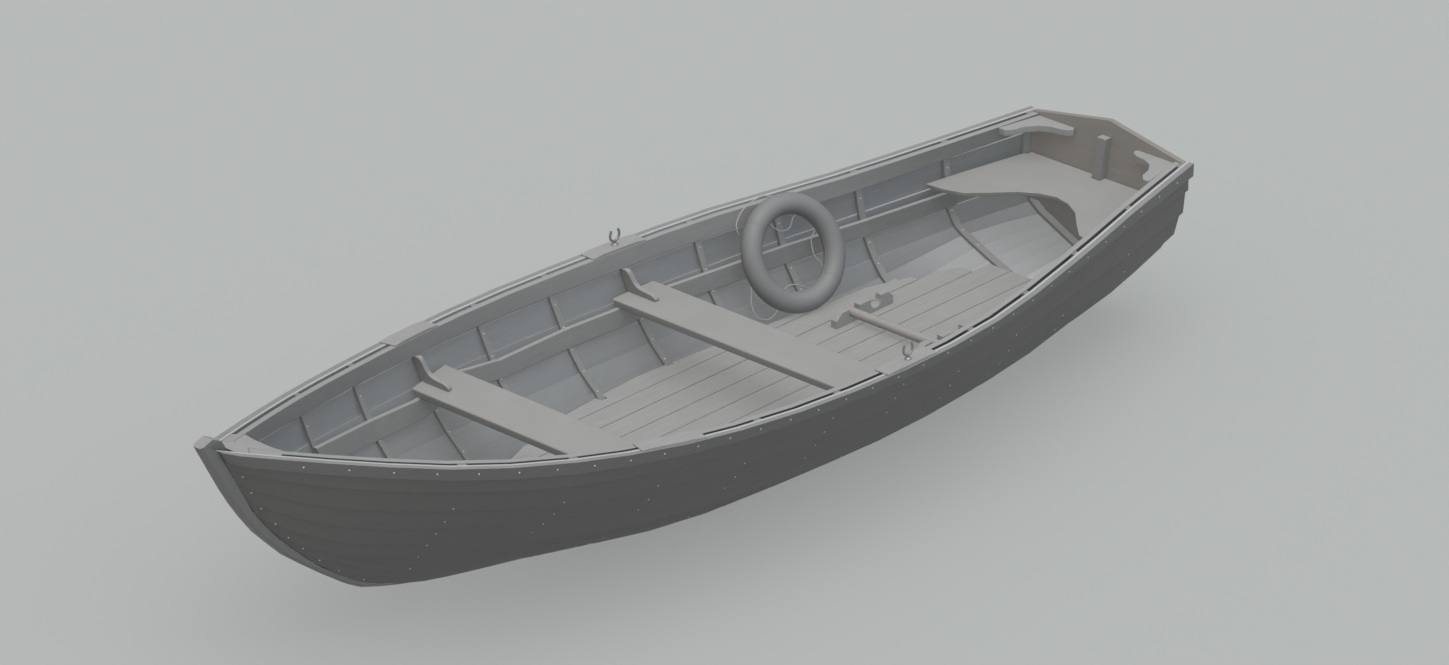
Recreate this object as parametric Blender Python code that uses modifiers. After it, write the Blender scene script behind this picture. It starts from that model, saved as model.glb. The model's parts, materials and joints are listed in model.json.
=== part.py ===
"""Clinker-planked pulling lifeboat, 5.5 m long, built piece by piece.

Every offset is in timber spaces (SPACE metres each) measured aft of the first timber, to starboard of
the centreline and above the gunwale at the transom. World axes are in metres: X aft, Y starboard, Z up.
The world origin is amidships on the centreline at the floating waterline.
"""
import math

import bmesh
import bpy
import numpy as np
from mathutils import Matrix, Vector

SPACE = 0.45
MIDSHIP = 4.9
WATER = -1.2
MM = 0.001 / SPACE
GAP = 0.3 * MM

PLANK = 13.0 * MM
LAP = 22.0 * MM
HOOD_STEP = 0.12
RIB_THICK = 16.0 * MM
RIB_WIDE = 34.0 * MM
KEEL_STAND = 7.0 * MM
FOOT_PLAY = 2.0 * MM
RAIL_WIDE = 24.0 * MM
RAIL_DEEP = 56.0 * MM
INWALE_WIDE = 31.0 * MM
INWALE_DEEP = 66.0 * MM
BACKBONE_HALF = 0.0585
APRON_HALF = 0.025
HOOD_HALF = 0.030
APRON_DEEP = 0.10
RAKE = 0.163
TRANSOM_AFT = 11.0
TRANSOM_THICK = 27.0 * MM
TRANSOM_CROWN = 0.165
TRANSOM_PLAY = 0.8 * MM
FOOT_TOOTH = 0.03
RAKE_FROM = 10.0

STATIONS = (0.0, 1.0, 2.0, 3.0, 4.0, 5.5, 7.0, 8.8, 9.86)
HALF_BREADTHS = (
    (0.562, 1.052, 1.405, 1.655, 1.803, 1.865, 1.785, 1.420, 1.184),
    (0.510, 0.986, 1.345, 1.575, 1.713, 1.755, 1.668, 1.350, 1.160),
    (0.420, 0.865, 1.225, 1.450, 1.590, 1.630, 1.583, 1.302, 1.130),
    (0.335, 0.735, 1.070, 1.317, 1.460, 1.510, 1.475, 1.230, 1.098),
    (0.250, 0.600, 0.910, 1.155, 1.300, 1.370, 1.330, 1.122, 0.996),
    (0.175, 0.470, 0.740, 0.960, 1.110, 1.200, 1.170, 1.006, 0.890),
)
HEIGHTS = (
    (0.657, 0.407, 0.228, 0.105, 0.025, -0.056, -0.090, -0.087, -0.043),
    (0.455, 0.210, 0.013, -0.098, -0.188, -0.262, -0.292, -0.270, -0.245),
    (0.235, -0.015, -0.208, -0.325, -0.420, -0.495, -0.530, -0.508, -0.492),
    (0.040, -0.225, -0.418, -0.555, -0.650, -0.715, -0.758, -0.740, -0.738),
    (-0.130, -0.420, -0.575, -0.735, -0.830, -0.895, -0.940, -0.937, -0.90),
    (-0.270, -0.590, -0.730, -0.890, -0.980, -1.045, -1.115, -1.090, -0.965),
)
TRANSOM_EDGE = ((0.950, 0.0), (0.952, -0.22), (0.932, -0.45), (0.877, -0.68), (0.762, -0.86), (0.622, -0.95))
HOOD_HEIGHTS = (0.927, 0.75, 0.57, 0.39, 0.21, 0.03, -0.15, -0.32, -0.50, -0.66)
LOW_LAPS = 4
LOW_BULGES = (0.03, 0.035, 0.09, 0.15, 0.16, 0.16, 0.115, 0.01, 0.0)
GARBOARD_START = 0.48
RABBET = (
    (-0.966, 0.927), (-0.860, 0.729), (-0.757, 0.546), (-0.588, 0.220), (-0.369, -0.076), (-0.090, -0.357),
    (0.180, -0.612), (0.541, -0.857), (0.833, -1.009), (1.130, -1.113), (1.431, -1.195), (2.0, -1.305),
    (3.0, -1.42), (4.0, -1.485), (5.5, -1.53), (7.0, -1.52), (8.8, -1.43), (9.86, -1.32), (10.806, -1.19),
)
STEM_FACE = (
    (-1.150, 1.005), (-0.975, 0.676), (-0.831, 0.405), (-0.571, 0.018), (-0.211, -0.364), (0.159, -0.657),
    (0.475, -0.885), (0.650, -1.0), (0.890, -1.086), (1.129, -1.160), (1.520, -1.246), (2.041, -1.345),
    (2.6, -1.43), (3.2, -1.50), (4.0, -1.57), (5.0, -1.62), (6.0, -1.64), (10.73, -1.64),
)
STEM_HEAD = (
    ((-1.150, 1.005), (-1.080, 1.030), (-1.015, 1.052), 0.0583),
    ((-1.128, 0.962), (-1.050, 0.990), (-0.930, 1.010), 0.0583),
    ((-1.122, 0.950), (-1.040, 0.975), (-0.915, 0.995), APRON_HALF),
)
STEM_COLUMNS = 5

BOW_COLUMNS = (0.0, 0.06, 0.16, 0.30, 0.45, 0.62, 0.80)
TWISTED = len(BOW_COLUMNS) + 1
FAN_END = 2.0
COLUMNS = (2.0, 2.5, 3.1, 3.7, 4.4, 5.1, 5.8, 6.5, 7.2, 7.9, 8.6, 9.2, 9.8, 10.4)
TIMBERS = (1.0, 2.01, 2.98, 3.963, 4.957, 5.92, 6.87, 7.83, 8.797, 9.864)

INWALE_FORE = -0.70
SLOT_FORE = -0.45
SLOT_PLAY = 1.2 * MM
BREASTHOOK_STATIONS = (-0.66, -0.491, -0.46, -0.42)
BREASTHOOK_NOSE = (-0.825, INWALE_FORE - 2 * GAP)
BREASTHOOK_THICK = 0.09
BREASTHOOK_SAG = 0.03
BREASTHOOK_LEAN = 0.055
BREASTHOOK_PLAY = 0.004
RISER_TOP = (
    (0.96, -0.018), (2.0, -0.238), (2.72, -0.35), (3.37, -0.35), (4.0, -0.456), (5.0, -0.491),
    (5.6, -0.52), (6.27, -0.52), (6.9, -0.546), (8.8, -0.551), (9.91, -0.545),
)
RISER_DEEP = 66.0 * MM
RISER_WIDE = 22.0 * MM
THWART_THICK = 36.0 * MM
THWART_SPANS = {"fore": (2.76, 3.33, -0.27), "mid": (5.65, 6.22, -0.44)}
KNEE_THICK = 25.0 * MM
KNEE_REACH = 0.465
KNEE_CURVE = (
    (0.185, 1.0), (0.235, 0.93), (0.275, 0.84), (0.33, 0.68), (0.39, 0.50), (0.47, 0.385), (0.58, 0.315),
    (0.73, 0.285), (0.865, 0.26), (0.965, 0.19), (1.005, 0.10), (1.0, 0.0),
)
KNEE_STATIONS = {"fore": 2.95, "mid": 5.89}
SEAT_TOP = -0.40
SEAT_THICK = 19.0 * MM
SEAT_FRONT = (
    (0.0, 10.20), (0.10, 10.19), (0.30, 10.10), (0.47, 9.94), (0.63, 9.74), (0.80, 9.61), (1.20, 9.57),
)
SEAT_BEARERS = (10.30, 10.62)
POST_WIDE = 50.0 * MM
POST_DEEP = 38.0 * MM
POST_TOP = 0.01
POST_FOOT = -1.10
QUARTER_TOP = -0.02
QUARTER_THICK = 0.07
QUARTER_FORE = 10.43
QUARTER_PLAY = 5 * GAP
QUARTER_TIP = 0.075
QUARTER_HEEL = (0.03, 0.385)
QUARTER_FOOT = 0.40
QUARTER_CURVE = (
    (10.50, 0.812), (10.633, 0.775), (10.744, 0.698), (10.800, 0.590), (10.815, 0.480), (10.855, 0.405),
)

NOTCH_DEEP = 0.4
FLOOR_TOP = -1.06
FLOOR_THICK = 14.0 * MM
BOARD = 0.268
BOARDS = 9
BOARD_GAP = 4.0 * MM
FLOOR_EDGE = (
    (1.75, 0.0), (2.0, 0.26), (2.5, 0.46), (3.2, 0.72), (3.8, 0.95), (4.43, 1.137), (5.55, 1.18), (8.0, 0.98),
    (8.42, 0.92), (8.6, 0.873), (9.22, 0.651), (9.68, 0.392), (9.93, 0.0),
)
FLOOR_BEARERS = (2.98, 4.957, 6.87, 8.797)

PAD_THICK = 12.0 * MM
PAD_SPANS = {"fore": (2.64, 3.32), "mid": (5.55, 6.25)}
PAD_INNER = -0.103
PAD_OUTER = 0.067
ROWLOCK_STATION = 5.92
ROWLOCK_GAP = 0.045
ROWLOCK_TALL = 0.069
ROWLOCK_BAR = 0.0055
ROWLOCK_PIN = 0.005
ROWLOCK_BORE = 0.0055
ROWLOCK_PIN_LONG = 0.055
ROWLOCK_BOTTOM = 0.018
ROWLOCK_TURNING = (
    (0.0, 0.017), (0.007, 0.016), (0.008, 0.009), (0.014, 0.005), (0.016, 0.001), (0.016, 0.0005),
    (ROWLOCK_PIN, 0.0004), (ROWLOCK_PIN, -ROWLOCK_PIN_LONG + 0.004), (0.003, -ROWLOCK_PIN_LONG),
    (0.0, -ROWLOCK_PIN_LONG),
)
ROWLOCK_TIP = ((0.006, 0.0), (0.005, -0.006), (0.001, -0.016))

RACK_SPAN = (7.556, 8.370)
RACK_INNER = 0.487
RACK_THICK = 34.0 * MM
RACK_TOP = -0.911
RACK_SHOULDER = -0.980
NOTCHES = (7.809, 8.117)
NOTCH_RADIUS = 0.075
NOTCH_CENTRE = -0.945
BAR_RADIUS = 0.0215
BAR_HALF = 0.585

RING_CENTRE = (7.704, 1.186, -0.5236)
RING_TURN = math.radians(80.76)
RING_LEAN = math.radians(26.74)
RING_RADIUS = 0.2157
RING_TUBE = 0.0474
ROPE_RADIUS = 0.003
ROPE_POINTS = 78
ROPE_ROUTE = (
    (31.0, 0.525, 0.112), (33.5, 0.622, 0.05), (41.0, 0.668, 0.04), (54.5, 0.663, 0.045), (72.0, 0.630, 0.05),
    (84.0, 0.597, 0.065), (84.5, 0.550, 0.096), (81.0, 0.482, 0.117), (78.0, 0.425, 0.110),
    (76.0, 0.335, 0.12), (87.0, 0.242, 0.12), (104.0, 0.226, 0.12),
    (119.0, 0.270, 0.12), (123.0, 0.385, 0.12), (136.0, 0.470, 0.118), (151.0, 0.475, 0.118),
    (161.0, 0.425, 0.12),
    (167.0, 0.345, 0.12), (183.0, 0.313, 0.12), (198.0, 0.330, 0.12), (207.0, 0.402, 0.12),
    (220.0, 0.465, 0.118),
    (240.0, 0.460, 0.118), (254.0, 0.373, 0.11), (273.0, 0.302, 0.10), (291.0, 0.325, 0.11),
    (297.0, 0.450, 0.118),
    (301.5, 0.577, 0.10), (306.5, 0.670, 0.10), (312.5, 0.713, 0.10), (319.5, 0.722, 0.10),
    (328.5, 0.657, 0.10),
    (336.5, 0.560, 0.105), (346.0, 0.490, 0.118), (0.0, 0.470, 0.118), (16.0, 0.485, 0.118),
)

COLOURS = {
    "joinery": (0.42, 0.41, 0.39, 1.0),
    "painted": (0.30, 0.30, 0.29, 1.0),
    "boards": (0.46, 0.46, 0.44, 1.0),
    "metal": (0.35, 0.34, 0.32, 1.0),
    "buoy": (0.72, 0.70, 0.66, 1.0),
    "rope": (0.55, 0.48, 0.34, 1.0),
}


def start_clean():
    """Remove whatever the session opened with and make the two collections."""
    for item in list(bpy.data.objects):
        bpy.data.objects.remove(item, do_unlink=True)
    boat = bpy.data.collections.new("lifeboat")
    cutters = bpy.data.collections.new("cutters")
    for group in (boat, cutters):
        bpy.context.scene.collection.children.link(group)
    return boat, cutters


BOAT, CUTTERS = start_clean()


def world(point):
    """Metres in the world for a point in timber spaces."""
    x, y, z = point
    return Vector(((x - MIDSHIP) * SPACE, y * SPACE, (z - WATER) * SPACE))


def finish(name, mesh, kind, matrix=None, smooth=False):
    """Link a mesh as a named piece with a material of its own."""
    item = bpy.data.objects.new(name, mesh)
    mesh.name = name
    BOAT.objects.link(item)
    material = bpy.data.materials.new(name + "_finish")
    material.use_nodes = True
    shader = material.node_tree.nodes["Principled BSDF"]
    shader.inputs["Base Color"].default_value = COLOURS[kind]
    shader.inputs["Roughness"].default_value = 0.35 if kind == "metal" else 0.6
    shader.inputs["Metallic"].default_value = 1.0 if kind == "metal" else 0.0
    mesh.materials.clear()
    mesh.materials.append(material)
    if matrix is not None:
        item.matrix_world = matrix
    for face in mesh.polygons:
        face.use_smooth = smooth
    return item


def ring_mesh(rings, ends="paired"):
    """Skin closed rings of world points; the ends are paired across, flat, or a fan from the first point."""
    size = len(rings[0])
    build = bmesh.new()
    rows = [[build.verts.new(p) for p in ring] for ring in rings]
    for low, high in zip(rows, rows[1:]):
        for i in range(size):
            j = (i + 1) % size
            build.faces.new((low[i], low[j], high[j], high[i]))
    for row in (rows[0], rows[-1]):
        if ends == "flat":
            build.faces.new(row)
            continue
        if ends == "fan":
            for i in range(1, size - 1):
                build.faces.new((row[0], row[i], row[i + 1]))
            continue
        for i in range(size // 2 - 1):
            build.faces.new((row[i], row[i + 1], row[size - 2 - i], row[size - 1 - i]))
    bmesh.ops.triangulate(build, faces=[f for f in build.faces if len(f.verts) > 4], ngon_method="EAR_CLIP")
    bmesh.ops.recalc_face_normals(build, faces=build.faces)
    if build.calc_volume(signed=True) < 0:
        bmesh.ops.reverse_faces(build, faces=build.faces)
    mesh = bpy.data.meshes.new("skin")
    build.to_mesh(mesh)
    build.free()
    return mesh


def loft(name, rings, kind, ends="paired"):
    """A piece skinned over rings given in timber spaces."""
    return finish(name, ring_mesh([[world(p) for p in ring] for ring in rings], ends), kind)


def mirror_rings(rings):
    """The same rings on the other side of the boat."""
    return [[(x, -y, z) for x, y, z in ring] for ring in rings]


def as_mesh(item):
    """Turn a curve object into a mesh with its doubles merged, and drop the curve."""
    bpy.context.view_layer.update()
    evaluated = item.evaluated_get(bpy.context.evaluated_depsgraph_get())
    mesh = bpy.data.meshes.new_from_object(evaluated)
    matrix = item.matrix_world.copy()
    bpy.data.objects.remove(item, do_unlink=True)
    build = bmesh.new()
    build.from_mesh(mesh)
    bmesh.ops.remove_doubles(build, verts=build.verts, dist=1e-6)
    bmesh.ops.recalc_face_normals(build, faces=build.faces)
    build.to_mesh(mesh)
    build.free()
    return mesh, matrix


def curve_object(points, cyclic):
    """A poly curve through the points, linked so that it can be evaluated."""
    data = bpy.data.curves.new("line", "CURVE")
    spline = data.splines.new("POLY")
    spline.points.add(len(points) - 1)
    for knot, point in zip(spline.points, points):
        knot.co = (point[0], point[1], point[2], 1.0)
    spline.use_cyclic_u = cyclic
    item = bpy.data.objects.new("line", data)
    BOAT.objects.link(item)
    return item


def flat_mesh(outline, thick):
    """A closed flat outline in its own XY plane, thickened both ways about it."""
    item = curve_object([(x, y, 0.0) for x, y in outline], True)
    item.data.dimensions = "2D"
    item.data.fill_mode = "BOTH"
    item.data.extrude = thick / 2
    return as_mesh(item)[0]


def tube_mesh(points, radius, cyclic=False, detail=2):
    """A round bar along world points, its ends capped."""
    item = curve_object(points, cyclic)
    item.data.dimensions = "3D"
    item.data.bevel_depth = radius
    item.data.bevel_resolution = detail
    item.data.use_fill_caps = True
    return as_mesh(item)[0]


def turned_mesh(profile, steps):
    """A solid of revolution about Z from a profile of (radius, height), top to bottom."""
    mesh = bpy.data.meshes.new("turned")
    mesh.from_pydata([(r, 0.0, z) for r, z in profile], [(i, i + 1) for i in range(len(profile) - 1)], [])
    item = bpy.data.objects.new("turned", mesh)
    BOAT.objects.link(item)
    screw = item.modifiers.new("turn", "SCREW")
    screw.steps = steps
    screw.render_steps = steps
    screw.use_merge_vertices = True
    screw.merge_threshold = 0.0001
    return as_mesh(item)[0]


def cut(item, tools, operation="DIFFERENCE"):
    """Apply tools to a piece by exact Boolean, keeping the tools hidden in their own collection."""
    for tool in tools:
        step = item.modifiers.new("cut", "BOOLEAN")
        step.operation = operation
        step.solver = "EXACT"
        step.object = tool
    bpy.context.view_layer.update()
    evaluated = item.evaluated_get(bpy.context.evaluated_depsgraph_get())
    mesh = bpy.data.meshes.new_from_object(evaluated)
    item.modifiers.clear()
    material = item.data.materials[0]
    item.data = mesh
    mesh.name = item.name
    mesh.materials.clear()
    mesh.materials.append(material)
    for tool in tools:
        bpy.data.objects.remove(tool, do_unlink=True)
    return item


def tool_object(mesh, matrix=None):
    """A cutter or joining piece, kept out of the render until it is used."""
    item = bpy.data.objects.new("tool", mesh)
    CUTTERS.objects.link(item)
    item.hide_render = True
    item.display_type = "WIRE"
    if matrix is not None:
        item.matrix_world = matrix
    return item


def fair(at, knots, values):
    """A smooth curve through knots, by cubic pieces with finite-difference slopes."""
    knots = np.asarray(knots, float)
    values = np.asarray(values, float)
    slopes = np.gradient(values, knots)
    at = float(np.clip(at, knots[0], knots[-1]))
    i = int(np.clip(np.searchsorted(knots, at) - 1, 0, len(knots) - 2))
    step = knots[i + 1] - knots[i]
    t = (at - knots[i]) / step
    ends = values[i] * (2 * t**3 - 3 * t**2 + 1) + values[i + 1] * (3 * t**2 - 2 * t**3)
    return ends + step * (slopes[i] * (t**3 - 2 * t**2 + t) + slopes[i + 1] * (t**3 - t**2))


def rabbet_height(x):
    """Height of the rabbet on the backbone."""
    return fair(x, [p[0] for p in RABBET], [p[1] for p in RABBET])


def rabbet_station(z):
    """Where the rabbet on the stem stands at a height."""
    fore = [p for p in RABBET if p[0] < 2.0]
    return float(np.interp(-z, [-p[1] for p in fore], [p[0] for p in fore]))


def lap_knots():
    """For each lap line from the sheer to the garboard foot: stations, half-breadths and heights."""
    lines = []
    for k, (wide, high) in enumerate(zip(HALF_BREADTHS, HEIGHTS)):
        end = TRANSOM_EDGE[k]
        hood = HOOD_HEIGHTS[k]
        xs = [rabbet_station(hood), *STATIONS, TRANSOM_AFT + RAKE * end[1]]
        lines.append((xs, [HOOD_HALF, *wide, end[0]], [hood, *high, end[1]]))
    foot_end = (HOOD_HALF, rabbet_height(RABBET[-1][0]))
    for low in range(1, LOW_LAPS + 1):
        share = low / (LOW_LAPS + 1)
        hood = HOOD_HEIGHTS[len(HALF_BREADTHS) + low - 1]
        xs, ys, zs = [rabbet_station(hood)], [HOOD_HALF], [hood]
        pairs = [
            (HALF_BREADTHS[5][i], HEIGHTS[5][i], HOOD_HALF, rabbet_height(s))
            for i, s in enumerate(STATIONS) if i
        ]
        pairs.append((*TRANSOM_EDGE[5], *foot_end))
        for i, (wide, high, foot_wide, foot_high) in enumerate(pairs):
            bulge = LOW_BULGES[i] * 4 * share * (1 - share)
            run = Vector((foot_wide - wide, foot_high - high))
            out = Vector((-run.y, run.x)).normalized() * bulge
            z = high + run.y * share + out.y
            xs.append(STATIONS[i + 1] if i + 1 < len(STATIONS) else TRANSOM_AFT + RAKE * z)
            ys.append(wide + run.x * share + out.x)
            zs.append(z)
        lines.append((xs, ys, zs))
    xs = [GARBOARD_START, *STATIONS[1:], TRANSOM_AFT + RAKE * foot_end[1]]
    lines.append((xs, [HOOD_HALF] * len(xs), [rabbet_height(x) for x in xs]))
    return lines


def planking_grid():
    """Inner corners of the lap lines on shared columns, sheer first, bow first."""
    grid = []
    for k, (xs, ys, zs) in enumerate(lap_knots()):
        row = []
        stations = [xs[0] + (FAN_END - xs[0]) * f for f in BOW_COLUMNS]
        stations += list(COLUMNS) + [TRANSOM_AFT - TRANSOM_THICK, TRANSOM_AFT]
        for station in stations:
            rake = RAKE * min(max((station - RAKE_FROM) / (10.9 - RAKE_FROM), 0.0), 1.0)
            x = station
            for _ in range(6):
                z = rabbet_height(x) if k == 10 else fair(x, xs, zs)
                x = station + rake * z
            z = rabbet_height(x) if k == 10 else fair(x, xs, zs)
            row.append((x, fair(x, xs, ys), z))
        grid.append(row)
    return np.array(grid)


def outward_normals(grid):
    """Unit normals out of the starboard planking at each point of the grid."""
    along = np.gradient(grid, axis=1)
    down = np.gradient(grid, axis=0)
    normal = np.cross(along, down)
    normal[0, :, 2] = 0.0
    normal[:, 0] = (0.0, 1.0, 0.0)
    return normal / np.linalg.norm(normal, axis=2, keepdims=True)


GRID = planking_grid()
NORMALS = outward_normals(GRID)
INNER = GRID - NORMALS * GAP
INNER[10] = GRID[10] - NORMALS[10] * KEEL_STAND
INNER[10, :TWISTED] = GRID[10, :TWISTED] - NORMALS[10, :TWISTED] * 2 * KEEL_STAND
TIMBER_FACE = INNER - NORMALS * (RIB_THICK - 2 * GAP)


def plane_cut(line, station, rake=0.0):
    """The point of a lap line on the plane x - rake * z = station."""
    key = line[:, 0] - rake * line[:, 2]
    return np.array([np.interp(station, key, line[:, i]) for i in range(3)])


def section(surface, station, rake=0.0):
    """Section of a surface, sheer to keel."""
    return np.array([plane_cut(line, station, rake) for line in surface])


def breadth(surface, station, z, rake=0.0):
    """Half-breadth of a surface at a station and height."""
    rows = section(surface, station, rake)
    return float(np.interp(-z, -rows[:, 2], rows[:, 1]))


def depth_at(surface, station, y):
    """Height of a surface at a station and half-breadth, for its lower part."""
    rows = section(surface, station)[::-1]
    return float(np.interp(y, rows[:, 1], rows[:, 2]))


def strake_sides():
    """Inside and outside points of the starboard clinker shell, column by column."""
    insides, outsides = [], []
    for j in range(GRID.shape[1]):
        step = PLANK * min(1.0, (HOOD_STEP, 0.55, 0.9)[j] if j < 3 else 1.0)
        inside = [GRID[0, j], None]
        outside = [GRID[0, j] + NORMALS[0, j] * PLANK, None]
        for k in range(1, 10):
            run = GRID[k + 1, j] - GRID[k, j]
            long = np.linalg.norm(run)
            foot = GRID[k, j] + NORMALS[k, j] * (PLANK + step * LAP / long) + run / long * LAP
            inside += [GRID[k, j] + NORMALS[k, j] * step, GRID[k, j]]
            outside += [foot + NORMALS[k, j] * step, foot]
        for side in (inside, outside):
            run = side[2] - side[0]
            side[1] = side[0] + run * RAIL_DEEP / abs(run[2])
        inside.append(GRID[10, j])
        outside.append(GRID[10, j] + NORMALS[10, j] * PLANK)
        insides.append(inside)
        outsides.append(outside)
    return np.array(insides), np.array(outsides)


INSIDE, OUTSIDE = strake_sides()


def both_sides(name, rings, kind):
    """The same piece to starboard and to port."""
    loft(name + "_starboard", rings, kind)
    loft(name + "_port", mirror_rings(rings), kind)


def make_planking():
    """Ten strakes a side, each lapping the one below, as one shell a side."""
    rings = [[tuple(p) for p in (*inside, *outside[::-1])] for inside, outside in zip(INSIDE, OUTSIDE)]
    both_sides("planking", rings, "painted")


def make_timber(name, fore, aft, rake):
    """A bent timber from gunwale to gunwale across the laps, between two planes."""
    outer_fore = section(INNER, fore, rake)
    outer_aft = section(INNER, aft, rake)
    inner_aft = section(TIMBER_FACE, aft, rake)
    inner_fore = section(TIMBER_FACE, fore, rake)
    rings = [[tuple(p) for p in ring] for ring in zip(outer_fore, outer_aft, inner_aft, inner_fore)]
    return loft(name, rings + mirror_rings(rings)[::-1], "joinery")


def make_timbers():
    """Ten timbers across the boat and one against the transom."""
    for number, station in enumerate(TIMBERS, 1):
        make_timber(f"timber_{number:02d}", station - RIB_WIDE / 2, station + RIB_WIDE / 2, 0.0)
    aft = TRANSOM_AFT - TRANSOM_THICK - 2 * GAP
    make_timber("timber_11", aft - RIB_WIDE, aft, RAKE)


def backbone_ring(rabbet, shoulder, back, back_half):
    """One ring round the stem or keel, square to its outer face."""
    face = nearest_face(rabbet)
    toward = (face - shoulder).normalized()
    cheek = face - toward * min(0.028, (face - shoulder).length / 2)
    half = [
        (0.038, face), (BACKBONE_HALF, cheek), (BACKBONE_HALF, shoulder), (back_half, shoulder),
        (back_half, back),
    ]
    ring = [(p.x, y, p.y) for y, p in half]
    return ring + [(x, -y, z) for x, y, z in ring[::-1]]


def nearest_face(point):
    """The point of the outer face of stem and keel nearest to a point of the profile."""
    best = None
    for start, end in zip(STEM_FACE, STEM_FACE[1:]):
        start, end = Vector(start), Vector(end)
        run = end - start
        share = min(max((point - start).dot(run) / run.length_squared, 0.0), 1.0)
        spot = start + run * share
        if best is None or (spot - point).length < (best - point).length:
            best = spot
    return best


def hood_rings():
    """Rings where the strakes end on the stem, each with the apron behind it."""
    rings = []
    for k in range(10):
        rabbet = Vector((GRID[k, 0, 0], GRID[k, 0, 2]))
        run = GRID[min(k + 1, 9), 0] - GRID[max(k - 1, 0), 0]
        inward = Vector((-run[2], run[0])).normalized()
        shoulder = rabbet - inward * 2.5 * GAP
        rings.append(backbone_ring(rabbet, shoulder, rabbet + inward * APRON_DEEP, APRON_HALF))
    return rings


def foot_rings(columns, deep_from):
    """Rings under the garboard's foot; the apron runs out by deep_from."""
    rings = []
    for j in columns:
        x, _, z = GRID[10, j]
        low = z + NORMALS[10, j, 2] * PLANK - FOOT_PLAY
        share = min(max((deep_from - x) / 0.3, 0.0), 1.0)
        back = Vector((x + 0.07 * share, z + 0.07 * share - 2 * GAP * (1 - share)))
        rings.append(backbone_ring(Vector((x, z)), Vector((x, low)), back, APRON_HALF))
    return rings


def make_stem():
    """Curved stem with its apron, standing above the gunwale."""
    head = []
    for face, shoulder, back, half in STEM_HEAD:
        face, shoulder, back = Vector(face), Vector(shoulder), Vector(back)
        ring = [
            (0.038, face), (BACKBONE_HALF, face + (shoulder - face).normalized() * 0.028),
            (BACKBONE_HALF, shoulder),
        ]
        ring += [(half, shoulder), (half, back)]
        ring = [(p.x, y, p.y) for y, p in ring]
        head.append(ring + [(x, -y, z) for x, y, z in ring[::-1]])
    loft("stem", head + hood_rings() + foot_rings(range(STEM_COLUMNS), 0.75), "painted")


def make_keel():
    """Keel aft of the stem, with the deadwood up to the transom foot."""
    rings = foot_rings(range(STEM_COLUMNS - 1, GRID.shape[1]), 0.0)
    rings[0] = [(x + 2 * GAP, y, z) for x, y, z in rings[0]]
    loft("keel", rings, "painted")


def column_at(station):
    """Fractional column of the planking at a station along the sheer."""
    return float(np.interp(station, GRID[0, :, 0], np.arange(GRID.shape[1])))


def at_column(rows, column):
    """Value of an array of per-column points at a fractional column."""
    low = min(int(column), len(rows) - 2)
    return rows[low] + (rows[low + 1] - rows[low]) * (column - low)


def sheer_ring(station, offsets, lift=0.0, outside=False):
    """Corners of a gunwale member as (out, down) pairs from the sheer strake's top inner or outer edge."""
    column = column_at(station)
    out = at_column(NORMALS[0], column)
    out = out / np.linalg.norm(out)
    if outside:
        top, below = at_column(OUTSIDE[:, 0], column), at_column(OUTSIDE[:, 1], column)
    else:
        top, below = at_column(GRID[0], column), at_column(TIMBER_FACE[1] - TIMBER_FACE[0] + GRID[0], column)
    flare = (below - top) / abs(below[2] - top[2])
    return [tuple(top + out * wide + flare * deep + np.array((0.0, 0.0, lift))) for wide, deep in offsets]


def gunwale_stations(start, stop):
    """The planking's own columns between two stations."""
    inside = [x for x in GRID[0, :, 0] if start + 0.02 < x < stop - 0.02]
    return [start, *inside, stop]


def make_rails():
    """Outer rails along the sheer strake, stem to transom."""
    near = 2 * GAP
    shape = [(near, 0.0), (near + RAIL_WIDE, 0.0), (near + RAIL_WIDE * 0.92, RAIL_DEEP), (near, RAIL_DEEP)]
    rings = [sheer_ring(x, shape, outside=True) for x in GRID[0, :, 0]]
    both_sides("rail", rings, "joinery")


def inwale_ring(station, outer):
    """Section of the inwale at a station."""
    inner = -RIB_THICK - INWALE_WIDE
    return sheer_ring(station, [(outer, 0.0), (inner, 0.0), (inner, INWALE_DEEP), (outer, INWALE_DEEP)])


def make_inwales():
    """Inwales inside the timber heads, leaving the open slot between each pair of heads."""
    slot = -RIB_THICK - SLOT_PLAY
    end = GRID[0, -2, 0]
    rings = [inwale_ring(x, -2 * GAP) for x in gunwale_stations(INWALE_FORE, SLOT_FORE - 0.01)]
    rings += [inwale_ring(x, slot) for x in gunwale_stations(SLOT_FORE, end)]
    rings[-1] = [(transom_plane(z, TRANSOM_THICK + 3 * GAP), y, z) for _, y, z in rings[-1]]
    both_sides("inwale", rings, "joinery")


def make_breasthook():
    """Hook at the stem, flush with the gunwale: between the planks forward, then between the inwales."""
    inner = -RIB_THICK - INWALE_WIDE - 4 * GAP
    wide, narrow = -BREASTHOOK_PLAY, inner
    spans = [(station, wide) for station in BREASTHOOK_NOSE] + [(BREASTHOOK_NOSE[-1], narrow)]
    spans += [(station, narrow) for station in BREASTHOOK_STATIONS]
    rings = []
    for station, out in spans:
        top, low = sheer_ring(station, [(out, 0.0), (out, BREASTHOOK_THICK)])
        sag = BREASTHOOK_SAG if station == BREASTHOOK_STATIONS[-1] else 0.0
        lean = BREASTHOOK_LEAN if station == BREASTHOOK_NOSE[0] else 0.0
        tops, lows = [], []
        for share in (-1.0, -0.5, 0.0, 0.5, 1.0):
            hollow = sag * (1 - share * share)
            tops.append((top[0] - hollow, share * top[1], top[2]))
            lows.append((low[0] - hollow + lean, share * (low[1] - BREASTHOOK_PLAY), low[2]))
        rings.append(tops + lows[::-1])
    loft("breasthook", rings, "joinery")


def riser_height(x):
    """Height of the top of the riser."""
    return float(np.interp(x, [p[0] for p in RISER_TOP], [p[1] for p in RISER_TOP]))


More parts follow.
